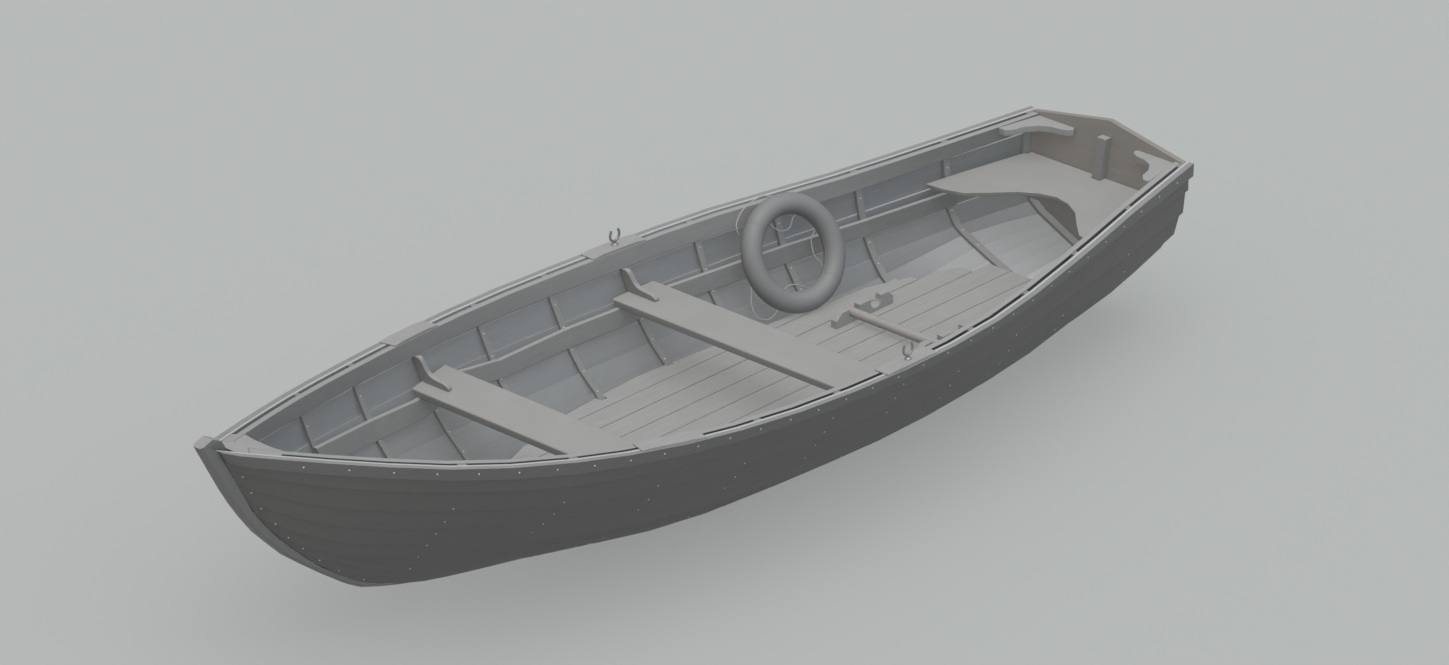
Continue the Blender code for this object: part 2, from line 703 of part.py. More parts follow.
def make_risers():
    """Risers on the timbers' inner faces, carrying the thwarts."""
    face = TIMBER_FACE - NORMALS * GAP
    stations = [RISER_TOP[0][0]]
    for timber in TIMBERS[1:-1]:
        stations += [timber - RIB_WIDE / 2, timber + RIB_WIDE / 2]
    stations = sorted(stations + [2.72, 3.37, 5.6, 6.27, TIMBERS[-1] + RIB_WIDE / 2])
    rings = []
    for x in stations:
        top = riser_height(x)
        high = breadth(face, x, top)
        low = breadth(face, x, top - RISER_DEEP)
        foot = top - RISER_DEEP
        rings.append(
            [(x, high, top), (x, high - RISER_WIDE, top), (x, low - RISER_WIDE, foot), (x, low, foot)]
        )
    both_sides("riser", rings, "joinery")


def make_thwarts():
    """Two thwarts resting on the risers, each end held by a pair of knees."""
    face = TIMBER_FACE - NORMALS * GAP
    for place, (fore, aft, top) in THWART_SPANS.items():
        low = top - THWART_THICK + GAP
        rings = []
        for x in (fore, fore + 0.02, (fore + aft) / 2, aft - 0.02, aft):
            trim = 0.008 if x in (fore, aft) else 0.0
            high_half = breadth(face, x, top)
            low_half = breadth(face, x, low)
            half = [(x, high_half, top - trim), (x, low_half, low + trim)]
            rings.append([half[0], (x, -high_half, top - trim), (x, -low_half, low + trim), half[1]])
        loft(f"thwart_{place}", rings, "boards")
        make_thwart_knees(place, top)


def make_thwart_knees(place, top):
    """A knee at each end of a thwart, from the thwart up to the inwale."""
    face = TIMBER_FACE - NORMALS * GAP
    station = KNEE_STATIONS[place]
    foot = top + GAP
    sheer = plane_cut(GRID[0], station)[2]
    head = sheer - INWALE_DEEP - 0.014
    tall = head - foot
    sides = []
    for x in (station - KNEE_THICK / 2, station + KNEE_THICK / 2):
        heights = np.linspace(head, foot, 4)
        back = [(x, breadth(face, x, z) - 2 * GAP, z) for z in heights]
        reach_from = back[0][1]
        curve = [(x, reach_from - KNEE_REACH * r, foot + tall * h) for r, h in KNEE_CURVE[::-1]]
        sides.append(back + curve)
    loft(f"thwart_knee_{place}_starboard", sides, "joinery", "flat")
    loft(f"thwart_knee_{place}_port", mirror_rings(sides), "joinery", "flat")


def transom_plane(z, forward):
    """Station of a plane parallel to the transom, forward of its aft face."""
    return TRANSOM_AFT - forward + RAKE * z


def make_transom():
    """Raked transom fitted inside the plank ends, its top crowned."""
    rings = []
    for column, forward in ((-2, TRANSOM_THICK), (-1, 0.0)):
        side = []
        for k in range(11):
            run = GRID[min(k + 1, 10), column] - GRID[k if k < 10 else 9, column]
            run = run / np.linalg.norm(run)
            back = NORMALS[k, column] * TRANSOM_PLAY
            lift, reach = (TRANSOM_PLAY, PLANK) if k < 5 else (FOOT_TOOTH, 0.7 * PLANK)
            if 0 < k < 10:
                side.append(GRID[k, column] + NORMALS[k, column] * reach - back - run * lift)
            side.append(GRID[k, column] - back - (run * TRANSOM_PLAY if 0 < k < 10 else 0.0))
        side = [(transom_plane(z, forward), y, z) for _, y, z in side]
        crown = []
        for y in (0.84, 0.60, 0.30):
            z = TRANSOM_CROWN * (1 - y / side[0][1])
            crown.append((transom_plane(z, forward), y, z))
        peak = (transom_plane(TRANSOM_CROWN, forward), 0.0, TRANSOM_CROWN)
        half = crown[::-1] + side
        rings.append([peak] + half + [(x, -y, z) for x, y, z in half[::-1]])
    loft("transom", rings, "painted", "fan")


def make_transom_post():
    """Upright post on the centre of the transom's inner face."""
    rings = []
    for z in (POST_TOP, POST_FOOT):
        aft = transom_plane(z, TRANSOM_THICK + 2 * GAP)
        fore = aft - POST_DEEP
        half = POST_WIDE / 2
        rings.append([(aft, half, z), (fore, half, z), (fore, -half, z), (aft, -half, z)])
    loft("transom_post", rings, "joinery")


def make_stern_seat():
    """Seat in the stern with its curved front edge, on two bearers."""
    low = SEAT_TOP - SEAT_THICK
    face = TIMBER_FACE - NORMALS * GAP
    shares = (1.0, 0.82, 0.64, 0.48, 0.32, 0.16, 0.0)
    fronts = []
    for share in shares:
        y = share * (breadth(face, 9.62, low) - GAP)
        x = float(np.interp(y, [p[0] for p in SEAT_FRONT], [p[1] for p in SEAT_FRONT]))
        fronts.append((x, y))
    sides = [(x, breadth(face, x, low) - GAP) for x in (9.95, 10.35)]
    end = transom_plane(SEAT_TOP, TRANSOM_THICK + 3 * GAP) - RIB_WIDE
    sides.append((end, breadth(face, end, low) - GAP))
    back = transom_plane(low, TRANSOM_THICK + 4 * GAP)
    inner = breadth(face, back - RAKE * low, low, RAKE) - 0.02
    notch = POST_WIDE / 2 + GAP
    notch_fore = back - POST_DEEP - 3 * GAP
    backs = [(end, inner), (back, inner), (back, notch), (notch_fore, notch)]
    half = fronts[::-1] + sides + backs
    outline = half + [(x, -y) for x, y in half[::-1] if y > 0]
    metres = [((x - MIDSHIP) * SPACE, y * SPACE) for x, y in outline]
    mesh = flat_mesh(metres, SEAT_THICK * SPACE)
    centre = Matrix.Translation((0.0, 0.0, ((SEAT_TOP + low) / 2 - WATER) * SPACE))
    seat = finish("stern_seat", mesh, "boards", centre)
    tools = []
    for station in SEAT_BEARERS:
        bottom = riser_height(min(station, 9.9)) + GAP
        rings = []
        for x in (station - 0.04, station + 0.04):
            half = breadth(face, x, bottom) - GAP
            rings.append(
                [(x, half, low + 0.005), (x, half, bottom), (x, -half, bottom), (x, -half, low + 0.005)]
            )
        tools.append(tool_object(ring_mesh([[world(p) for p in ring] for ring in rings], "flat")))
    cut(seat, tools, "UNION")


def make_quarter_knees():
    """Knees in the corners between the inwales and the transom, from the fore tip aft."""
    inner = -RIB_THICK - INWALE_WIDE - 3 * GAP
    columns = []
    for z in (QUARTER_TOP, QUARTER_TOP - QUARTER_THICK):
        aft = transom_plane(z, TRANSOM_THICK + 2 * GAP)
        sides = []
        for x in (QUARTER_FORE, aft):
            corner = sheer_ring(x, [(inner, 0.0), (inner, INWALE_DEEP)])
            sides.append(min(corner[0][1], corner[1][1]) - QUARTER_PLAY)
        inboard = [
            (QUARTER_FORE, sides[0] - QUARTER_TIP), *QUARTER_CURVE, (aft - QUARTER_HEEL[0], QUARTER_HEEL[1]),
            (aft, QUARTER_FOOT),
        ]
        outboard = [(x, float(np.interp(x, (QUARTER_FORE, aft), sides))) for x, _ in inboard]
        columns.append([(x, y, z) for x, y in outboard])
        columns.append([(x, y, z) for x, y in inboard])
    out_top, in_top, out_low, in_low = columns
    both_sides("quarter_knee", [list(ring) for ring in zip(out_top, in_top, in_low, out_low)], "joinery")


def floor_half(x):
    """Half-breadth of the floor's outline."""
    return float(np.interp(x, [p[0] for p in FLOOR_EDGE], [p[1] for p in FLOOR_EDGE]))


def board_rings(inner, outer):
    """Rings along one floorboard: straight sides, its outer edge trimmed to the planking and the outline."""
    rings = []
    low = FLOOR_TOP - FLOOR_THICK
    for x in np.linspace(FLOOR_EDGE[0][0], FLOOR_EDGE[-1][0], 34):
        shape = floor_half(x)
        top_half = min(shape, breadth(INNER, x, FLOOR_TOP) - 2 * GAP)
        low_half = min(shape, breadth(INNER, x, low) - 2 * GAP)
        if top_half < inner + 0.03 or low_half < inner + 0.02:
            continue
        above, below = min(outer, top_half), min(outer, low_half)
        rings.append([(x, inner, FLOOR_TOP), (x, above, FLOOR_TOP), (x, below, low), (x, inner, low)])
    return rings


def slim(rings):
    """Drop rings that lie on the straight line between their neighbours."""
    kept = [rings[0]]
    for before, ring, after in zip(rings, rings[1:], rings[2:]):
        mid = [(np.array(a) + np.array(c)) / 2 for a, c in zip(before, after)]
        if max(np.linalg.norm(m - np.array(p)) for m, p in zip(mid, ring)) > 0.0015:
            kept.append(ring)
    return kept + [rings[-1]]


def make_floor():
    """Nine floorboards joined by four bearers that stand on the timbers."""
    boards = []
    for board in range(BOARDS // 2 + 1):
        inner = (board - 0.5) * BOARD + BOARD_GAP / 2
        outer = (board + 0.5) * BOARD - BOARD_GAP / 2
        if board == 0:
            half = slim(board_rings(0.0, outer))
            both = [
                [(x, -y1, z), (x, y1, z), (x, y2, low), (x, -y2, low)]
                for (_, _, z), (x, y1, _), (_, y2, low), _ in half
            ]
            boards.append(both)
            continue
        rings = slim(board_rings(inner, outer))
        boards += [rings, mirror_rings(rings)]
    floor = loft("floorboards", boards[0], "boards")
    low = FLOOR_TOP - FLOOR_THICK
    tools = [tool_object(ring_mesh([[world(p) for p in ring] for ring in rings])) for rings in boards[1:]]
    face = TIMBER_FACE - NORMALS * GAP
    for station in FLOOR_BEARERS:
        half = min(breadth(face, station - 0.05, low), breadth(face, station + 0.05, low)) - 0.02
        rings = []
        for share in (-0.97, -0.6, -0.3, 0.0, 0.3, 0.6, 0.97):
            y = share * half
            ring = []
            for x, top in (
                (station - 0.05, True), (station + 0.05, True), (station + 0.05, False),
                (station - 0.05, False),
            ):
                bottom = max(
                    depth_at(face, s, abs(y))
                    for s in (station - 0.05, station, station + 0.05)
                ) + 2 * GAP
                ring.append((x, y, low + 0.006 if top else min(bottom, low - 0.004)))
            rings.append(ring)
        tools.append(tool_object(ring_mesh([[world(p) for p in ring] for ring in rings])))
    cut(floor, tools, "UNION")
    notches = []
    for station in TIMBERS:
        limit = breadth(face, station, low)
        if floor_half(station) < limit - 0.03:
            continue
        fore, aft = station - RIB_WIDE / 2 - 4 * GAP, station + RIB_WIDE / 2 + 4 * GAP
        inner = min(breadth(face, fore, low), breadth(face, aft, low)) - 2 * GAP
        for side in (1.0, -1.0):
            near, far = side * inner, side * (inner + NOTCH_DEEP)
            ring = [(near, low - 0.02), (far, low - 0.02), (far, FLOOR_TOP + 0.02), (near, FLOOR_TOP + 0.02)]
            rings = [[(x, y, z) for y, z in ring] for x in (fore, aft)]
            notches.append(tool_object(ring_mesh([[world(p) for p in r] for r in rings], "flat")))
    cut(floor, notches)


def make_pads():
    """Chafing pads on the gunwale; the two amidships are bored for the rowlocks."""
    for place, (fore, aft) in PAD_SPANS.items():
        rings = []
        for x in np.linspace(fore, aft, 6):
            low = sheer_ring(float(x), [(PAD_INNER, 0.0), (PAD_OUTER, 0.0)], GAP)
            trim = 0.4 if x in (fore, aft) else 0.0
            high = [(px, py, pz + PAD_THICK * (1 - trim)) for px, py, pz in low]
            rings.append([low[0], low[1], high[1], high[0]])
        for side, name in ((1.0, "starboard"), (-1.0, "port")):
            loft(f"pad_{place}_{name}", [[(x, side * y, z) for x, y, z in ring] for ring in rings], "joinery")


def rowlock_matrix(side):
    """Where a rowlock's pin stands: the slot's line on top of the pad."""
    top = sheer_ring(ROWLOCK_STATION, [(-RIB_THICK / 2, 0.0)], GAP + PAD_THICK)[0]
    spot = world((top[0], side * top[1], top[2]))
    return Matrix.Translation(spot)


def make_rowlocks():
    """A rowlock each side, free to turn on its pin through the pad and the timber head."""
    above, below = ROWLOCK_TALL, -ROWLOCK_PIN_LONG - 0.002
    profile = ((0.0, above), (ROWLOCK_BORE, above), (ROWLOCK_BORE, below), (0.0, below))
    for side, name in ((1.0, "starboard"), (-1.0, "port")):
        for piece in ("timber_06", "planking_" + name, "rail_" + name, "pad_mid_" + name):
            bore = tool_object(turned_mesh(profile, 20), rowlock_matrix(side))
            cut(bpy.data.objects[piece], [bore])
    for side, name in ((1.0, "starboard"), (-1.0, "port")):
        base = turned_mesh(ROWLOCK_TURNING, 20)
        half = ROWLOCK_GAP / 2 + ROWLOCK_BAR
        arc = []
        for angle in np.linspace(-math.pi / 2, math.pi / 2, 13):
            arc.append((math.sin(angle) * half, 0.0, ROWLOCK_BOTTOM + half - math.cos(angle) * half))
        arms = [(inward - half, 0.0, ROWLOCK_TALL + rise) for inward, rise in ROWLOCK_TIP]
        path = arms + arc + [(-x, y, z) for x, y, z in arms[::-1]]
        horn = tool_object(tube_mesh(path, ROWLOCK_BAR, False, 3), rowlock_matrix(side))
        rowlock = finish(f"rowlock_{name}", base, "metal", rowlock_matrix(side), True)
        cut(rowlock, [horn], "UNION")


def rack_outline():
    """Side of a foot rack: chamfered ends and two round notches in its top."""
    fore, aft = RACK_SPAN
    bottom = FLOOR_TOP + GAP
    points = [(fore, bottom), (fore, RACK_SHOULDER), (fore + 0.078, RACK_TOP)]
    for centre in NOTCHES:
        points.append((centre - NOTCH_RADIUS, RACK_TOP))
        for angle in np.linspace(math.pi, 0.0, 11):
            points.append(
                (centre + NOTCH_RADIUS * math.cos(angle), NOTCH_CENTRE - NOTCH_RADIUS * math.sin(angle))
            )
        points.append((centre + NOTCH_RADIUS, RACK_TOP))
    return points + [(aft - 0.078, RACK_TOP), (aft, RACK_SHOULDER), (aft, bottom)]


def make_foot_racks():
    """Two notched racks on the floor and the stretcher bar lying in their forward notches."""
    outline = [((x - NOTCHES[0]) * SPACE, (z - FLOOR_TOP) * SPACE) for x, z in rack_outline()]
    for side, name in ((1.0, "starboard"), (-1.0, "port")):
        y = side * (RACK_INNER + RACK_THICK / 2)
        place = Matrix.Translation(world((NOTCHES[0], y, FLOOR_TOP))) @ Matrix.Rotation(math.pi / 2, 4, "X")
        finish(f"foot_rack_{name}", flat_mesh(outline, RACK_THICK * SPACE), "joinery", place)
    half = BAR_HALF * SPACE
    profile = (
        (0.0, half), (BAR_RADIUS - 0.003, half), (BAR_RADIUS, half - 0.003), (BAR_RADIUS, 0.003 - half),
    )
    profile += ((BAR_RADIUS - 0.003, -half), (0.0, -half))
    centre = world((NOTCHES[0], 0.0, NOTCH_CENTRE - NOTCH_RADIUS)) + Vector((0.0, 0.0, BAR_RADIUS + 0.0003))
    place = Matrix.Translation(centre) @ Matrix.Rotation(math.pi / 2, 4, "X")
    finish("stretcher_bar", turned_mesh(profile, 24), "boards", place, True)


def ring_matrix():
    """Pose of the lifebuoy: X toward the bow, Y up the lean, Z outboard along its axis."""
    turn, lean = RING_TURN, RING_LEAN
    axis = Vector((math.cos(lean) * math.cos(turn), math.cos(lean) * math.sin(turn), -math.sin(lean)))
    fore = Vector((0.0, 0.0, 1.0)).cross(axis).normalized()
    frame = Matrix((fore, axis.cross(fore), axis)).transposed().to_4x4()
    return Matrix.Translation(world(RING_CENTRE)) @ frame


def rope_points():
    """The grab rope's closed route behind the ring, in the ring's own frame."""
    knots = [(math.radians(a), r, h) for a, r, h in ROPE_ROUTE]
    spots = [Vector((r * math.cos(a), r * math.sin(a), h)) * SPACE for a, r, h in knots]
    count = len(spots)
    points = []
    for step in range(ROPE_POINTS):
        place = step * count / ROPE_POINTS
        i, t = int(place), place - int(place)
        before, start, end, after = (spots[(i + d) % count] for d in (-1, 0, 1, 2))
        curve = start * 2 + (end - before) * t + (before * 2 - start * 5 + end * 4 - after) * t * t
        points.append((curve + (start * 3 - before - end * 3 + after) * t**3) * 0.5)
    return points


def make_lifebuoy():
    """Lifebuoy ring with its grab rope in loops behind it."""
    bpy.ops.mesh.primitive_torus_add(
        major_segments=40, minor_segments=12, major_radius=RING_RADIUS, minor_radius=RING_TUBE,
    )
    shape = bpy.context.active_object
    mesh = shape.data.copy()
    bpy.data.objects.remove(shape, do_unlink=True)
    finish("lifebuoy", mesh, "buoy", ring_matrix(), True)
    rope = tube_mesh(rope_points(), ROPE_RADIUS, True, 2)
    finish("grab_rope", rope, "rope", ring_matrix(), True)


def main():
    """Build every piece."""
    make_planking()
    make_timbers()
    make_stem()
    make_keel()
    make_rails()
    make_inwales()
    make_breasthook()
    make_risers()
    make_thwarts()
    make_transom()
    make_transom_post()
    make_stern_seat()
    make_quarter_knees()
    make_floor()
    make_pads()
    make_rowlocks()
    make_foot_racks()
    make_lifebuoy()


main()
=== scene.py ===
"""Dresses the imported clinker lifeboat: painted planks, rounded joinery, nails, rowlocks, ring, rope and studio."""

import json
import logging
import math
from dataclasses import dataclass, field
from enum import Enum
from typing import Callable, Sequence

import bmesh
import bpy
from mathutils import Matrix, Vector
from mathutils.bvhtree import BVHTree

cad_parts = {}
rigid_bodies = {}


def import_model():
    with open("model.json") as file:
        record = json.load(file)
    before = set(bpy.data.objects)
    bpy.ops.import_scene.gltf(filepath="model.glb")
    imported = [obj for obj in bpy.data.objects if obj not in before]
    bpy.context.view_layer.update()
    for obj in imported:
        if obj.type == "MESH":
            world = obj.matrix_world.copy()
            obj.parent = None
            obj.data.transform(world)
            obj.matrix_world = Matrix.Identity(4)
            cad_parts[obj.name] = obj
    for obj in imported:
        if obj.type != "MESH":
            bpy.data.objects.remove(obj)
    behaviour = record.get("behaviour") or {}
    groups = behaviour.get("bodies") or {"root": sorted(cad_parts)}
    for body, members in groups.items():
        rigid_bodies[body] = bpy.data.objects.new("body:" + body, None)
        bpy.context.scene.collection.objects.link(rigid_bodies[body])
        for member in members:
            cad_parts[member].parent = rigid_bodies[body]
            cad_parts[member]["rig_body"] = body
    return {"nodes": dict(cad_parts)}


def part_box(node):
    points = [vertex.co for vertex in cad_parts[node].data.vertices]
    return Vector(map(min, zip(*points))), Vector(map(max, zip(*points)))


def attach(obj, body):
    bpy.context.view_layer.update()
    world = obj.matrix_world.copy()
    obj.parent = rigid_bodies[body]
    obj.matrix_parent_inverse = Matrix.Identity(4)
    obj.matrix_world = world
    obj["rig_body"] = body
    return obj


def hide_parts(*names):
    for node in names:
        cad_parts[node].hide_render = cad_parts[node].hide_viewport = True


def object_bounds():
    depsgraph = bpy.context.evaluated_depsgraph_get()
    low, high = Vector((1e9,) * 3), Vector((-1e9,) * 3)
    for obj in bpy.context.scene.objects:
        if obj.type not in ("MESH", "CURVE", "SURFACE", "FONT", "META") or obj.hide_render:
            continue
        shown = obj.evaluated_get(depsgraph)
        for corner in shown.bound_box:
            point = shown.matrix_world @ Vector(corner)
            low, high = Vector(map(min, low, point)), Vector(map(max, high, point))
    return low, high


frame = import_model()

LOG = logging.getLogger("lifeboat")
MM = 0.001
IMAGE_WIDTH, IMAGE_HEIGHT = 1449, 665
NODES: dict[str, bpy.types.Object] = frame["nodes"]
CAD_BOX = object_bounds()
FLOOR_DROP = 2.0 * MM
SIDES = {"starboard": 1.0, "port": -1.0}

Colour = tuple[float, float, float]


class Slot(Enum):
    """Material slots of the record, given with each member; the pieces take their finish from their paint, not from
    these.
    """

    HULL = "painted_hull"
    TRANSOM = "painted_transom"
    GUNWALE = "gunwale_wood"
    TIMBER = "timber_wood"
    SEAT = "seat_wood"
    FLOOR = "floor_wood"
    METAL = "rowlock_metal"
    COVER = "buoy_cover"
    ROPE = "rope"


class Grain(Enum):
    """Which way the wood's grain runs, as the scale of a pattern along each axis of the boat."""

    FORE_AFT = (1.3, 17.0, 17.0)
    ATHWART = (17.0, 1.3, 17.0)
    UPRIGHT = (20.0, 4.0, 4.0)



class GroupMaker:
    """Builds a shader node group with named inputs and outputs, reading left to right."""

    def __init__(self, name: str) -> None:
        """Starts an empty group.

        Args:
            name: The group's name.
        """
        self.tree = bpy.data.node_groups.new(name, "ShaderNodeTree")
        self.source = self.tree.nodes.new("NodeGroupInput")
        self.sink = self.tree.nodes.new("NodeGroupOutput")

    def takes(self, name: str, kind: str, default: object = None) -> bpy.types.NodeSocket:
        """Adds an input and returns its socket inside the group.

        Args:
            name: The input's name.
            kind: Float, Vector or Color.
            default: What it is when nothing is plugged in.

        Returns:
            The socket to draw from.
        """
        socket = self.tree.interface.new_socket(name=name, in_out="INPUT", socket_type="NodeSocket" + kind)
        if default is not None:
            socket.default_value = default
        return self.source.outputs[name]

    def gives(self, name: str, kind: str, value: bpy.types.NodeSocket) -> None:
        """Adds an output that is fed by a socket."""
        self.tree.interface.new_socket(name=name, in_out="OUTPUT", socket_type="NodeSocket" + kind)
        self.tree.links.new(value, self.sink.inputs[name])

    def node(self, kind: str, **links: object) -> bpy.types.ShaderNode:
        """Adds a node; see wire."""
        return wire(self.tree, kind, **links)


def wire(tree: bpy.types.NodeTree, kind: str, **settings: object) -> bpy.types.ShaderNode:
    """Adds a shader node, sets its properties and fills or links its inputs.

    Args:
        tree: Where the node goes.
        kind: The node's type without the word ShaderNode.
        settings: A property of the node, or an input by its name with spaces as underscores, or in0, in1 by number.

    Returns:
        The new node.
    """
    node = tree.nodes.new("ShaderNode" + kind)
    inputs = {}
    for name, value in settings.items():
        if hasattr(node, name) and not name.startswith("in"):
            setattr(node, name, value)
        else:
            inputs[name] = value
    for name, value in inputs.items():
        numbered = name.startswith("in") and name[2:].isdigit()
        socket = node.inputs[int(name[2:])] if numbered else node.inputs[name.replace("_", " ")]
        if isinstance(value, bpy.types.NodeSocket):
            tree.links.new(value, socket)
        else:
            socket.default_value = value
    return node


class PaintShop:
    """The shader groups that the boat's finishes share, each built once."""

    def __init__(self) -> None:
        """Builds every group."""
        self.grain = self._grain()
        self.brush = self._brush()
        self.edges = self._edges()
        self.grime = self._grime()
        self.weave = self._weave()
        self.casting = self._casting()

    def _grain(self) -> bpy.types.NodeTree:
        """Long wood figure under paint: a shade and a height."""
        made = GroupMaker("wood_figure")
        vector = made.takes("Vector", "Vector")
        stretch = made.takes("Stretch", "Vector", (1.0, 10.0, 10.0))
        size = made.takes("Size", "Float", 4.0)
        long = made.node("VectorMath", operation="MULTIPLY", in0=vector, in1=stretch)
        rings = made.node("TexNoise", noise_dimensions="3D", Vector=long.outputs[0], Scale=size, Detail=5.0, Roughness=0.62, Distortion=0.35)
        fine = made.node("Math", operation="MULTIPLY", in0=size, in1=7.0)
        pores = made.node("TexNoise", Vector=long.outputs[0], Scale=fine.outputs[0], Detail=3.0, Roughness=0.7)
        blend = made.node("Math", operation="MULTIPLY_ADD", in0=pores.outputs["Fac"], in1=0.4, in2=rings.outputs["Fac"])
        shade = made.node("MapRange", Value=blend.outputs[0], From_Min=0.35, From_Max=1.05)
        made.gives("Shade", "Float", shade.outputs[0])
        made.gives("Height", "Float", blend.outputs[0])
        return made.tree

    def _brush(self) -> bpy.types.NodeTree:
        """Brush marks and slow unevenness of a paint film."""
        made = GroupMaker("brushed_film")
        vector = made.takes("Vector", "Vector")
        stretch = made.takes("Stretch", "Vector", (1.0, 10.0, 10.0))
        long = made.node("VectorMath", operation="MULTIPLY", in0=vector, in1=stretch)
        marks = made.node("TexNoise", Vector=long.outputs[0], Scale=26.0, Detail=2.0, Roughness=0.5)
        patches = made.node("TexNoise", Vector=vector, Scale=2.6, Detail=4.0, Roughness=0.55)
        made.gives("Marks", "Float", marks.outputs["Fac"])
        made.gives("Patches", "Float", patches.outputs["Fac"])
        return made.tree

    def _edges(self) -> bpy.types.NodeTree:
        """Mask of rubbed corners, broken up by noise."""
        made = GroupMaker("rubbed_corners")
        vector = made.takes("Vector", "Vector")
        reach = made.takes("Reach", "Float", 4.0 * MM)
        rounded = made.node("Bevel", samples=4, Radius=reach)
        geometry = made.node("NewGeometry")
        match = made.node("VectorMath", operation="DOT_PRODUCT", in0=rounded.outputs[0], in1=geometry.outputs["Normal"])
        turned = made.node("MapRange", Value=match.outputs["Value"], From_Min=0.985, From_Max=0.90)
        chips = made.node("TexNoise", Vector=vector, Scale=38.0, Detail=5.0, Roughness=0.65)
        broken = made.node("MapRange", Value=chips.outputs["Fac"], From_Min=0.42, From_Max=0.62)
        mask = made.node("Math", operation="MULTIPLY", in0=turned.outputs[0], in1=broken.outputs[0])
        made.gives("Mask", "Float", mask.outputs[0])
        made.gives("Normal", "Vector", rounded.outputs[0])
        return made.tree

    def _grime(self) -> bpy.types.NodeTree:
        """Mask of dust that lies on upward faces, and a mask of cloudy patches."""
        made = GroupMaker("settled_grime")
        vector = made.takes("Vector", "Vector")
        facing = made.takes("Facing", "Vector")
        up = made.node("SeparateXYZ", Vector=facing)
        lying = made.node("MapRange", Value=up.outputs["Z"], From_Min=0.35, From_Max=0.95)
        cloud = made.node("TexNoise", Vector=vector, Scale=5.0, Detail=6.0, Roughness=0.6)
        patch = made.node("MapRange", Value=cloud.outputs["Fac"], From_Min=0.38, From_Max=0.68)
        dust = made.node("Math", operation="MULTIPLY", in0=lying.outputs[0], in1=patch.outputs[0])
        made.gives("Dust", "Float", dust.outputs[0])
        made.gives("Stain", "Float", patch.outputs[0])
        return made.tree

    def _weave(self) -> bpy.types.NodeTree:
        """Plain weave of canvas from a UV map, as a height and a shade."""
        made = GroupMaker("canvas_weave")
        vector = made.takes("Vector", "Vector")
        threads = made.takes("Threads", "Float", 120.0)
        scaled = made.node("VectorMath", operation="SCALE", in0=vector, Scale=threads)
        parts = made.node("SeparateXYZ", Vector=scaled.outputs[0])
        warp = made.node("Math", operation="SINE", in0=parts.outputs["X"])
        weft = made.node("Math", operation="SINE", in0=parts.outputs["Y"])
        cross = made.node("Math", operation="MULTIPLY", in0=warp.outputs[0], in1=weft.outputs[0])
        height = made.node("MapRange", Value=cross.outputs[0], From_Min=-1.0, From_Max=1.0)
        cloud = made.node("TexNoise", Vector=vector, Scale=3.0, Detail=5.0, Roughness=0.6)
        made.gives("Height", "Float", height.outputs[0])
        made.gives("Shade", "Float", cloud.outputs["Fac"])
        return made.tree

    def _casting(self) -> bpy.types.NodeTree:
        """Mottle of dull zinc over a casting."""
        made = GroupMaker("zinc_mottle")
        vector = made.takes("Vector", "Vector")
        size = made.takes("Size", "Float", 260.0)
        flakes = made.node("TexVoronoi", Vector=vector, Scale=size)
        skin = made.node("TexNoise", Vector=vector, Scale=90.0, Detail=4.0)
        tone = made.node("Math", operation="MULTIPLY_ADD", in0=flakes.outputs["Distance"], in1=0.5, in2=skin.outputs["Fac"])
        made.gives("Tone", "Float", tone.outputs[0])
        return made.tree



def place_group(tree: bpy.types.NodeTree, group: bpy.types.NodeTree, **inputs: object) -> bpy.types.ShaderNode:
    """Places a node group in a material.

    Args:
        tree: The material's node tree.
        group: The group to place.
        inputs: Values or sockets for its inputs.

    Returns:
        The group node.
    """
    node = tree.nodes.new("ShaderNodeGroup")
    node.node_tree = group
    for name, value in inputs.items():
        if isinstance(value, bpy.types.NodeSocket):
            tree.links.new(value, node.inputs[name])
        else:
            node.inputs[name].default_value = value
    return node


def mix_colour(tree: bpy.types.NodeTree, share: object, first: object, second: object) -> bpy.types.NodeSocket:
    """Mixes two colours by a share and returns the result's socket."""
    node = wire(tree, "MixRGB", blend_type="MIX", Fac=share, Color1=opaque(first), Color2=opaque(second))
    return node.outputs[0]


def opaque(colour: object) -> object:
    """A colour with full alpha; a socket comes back as it is."""
    return (*colour, 1.0) if isinstance(colour, tuple) and len(colour) == 3 else colour


def shaded(colour: Colour, factor: float) -> Colour:
    """The colour made darker or lighter by a factor."""
    return tuple(min(channel * factor, 1.0) for channel in colour)


def start_material(name: str) -> tuple[bpy.types.Material, bpy.types.NodeTree, bpy.types.ShaderNode]:
    """A new material, its node tree and its Principled shader."""
    material = bpy.data.materials.new(name)
    material.use_nodes = True
    tree = material.node_tree
    tree.nodes.clear()
    shader = tree.nodes.new("ShaderNodeBsdfPrincipled")
    output = tree.nodes.new("ShaderNodeOutputMaterial")
    tree.links.new(shader.outputs[0], output.inputs[0])
    return material, tree, shader


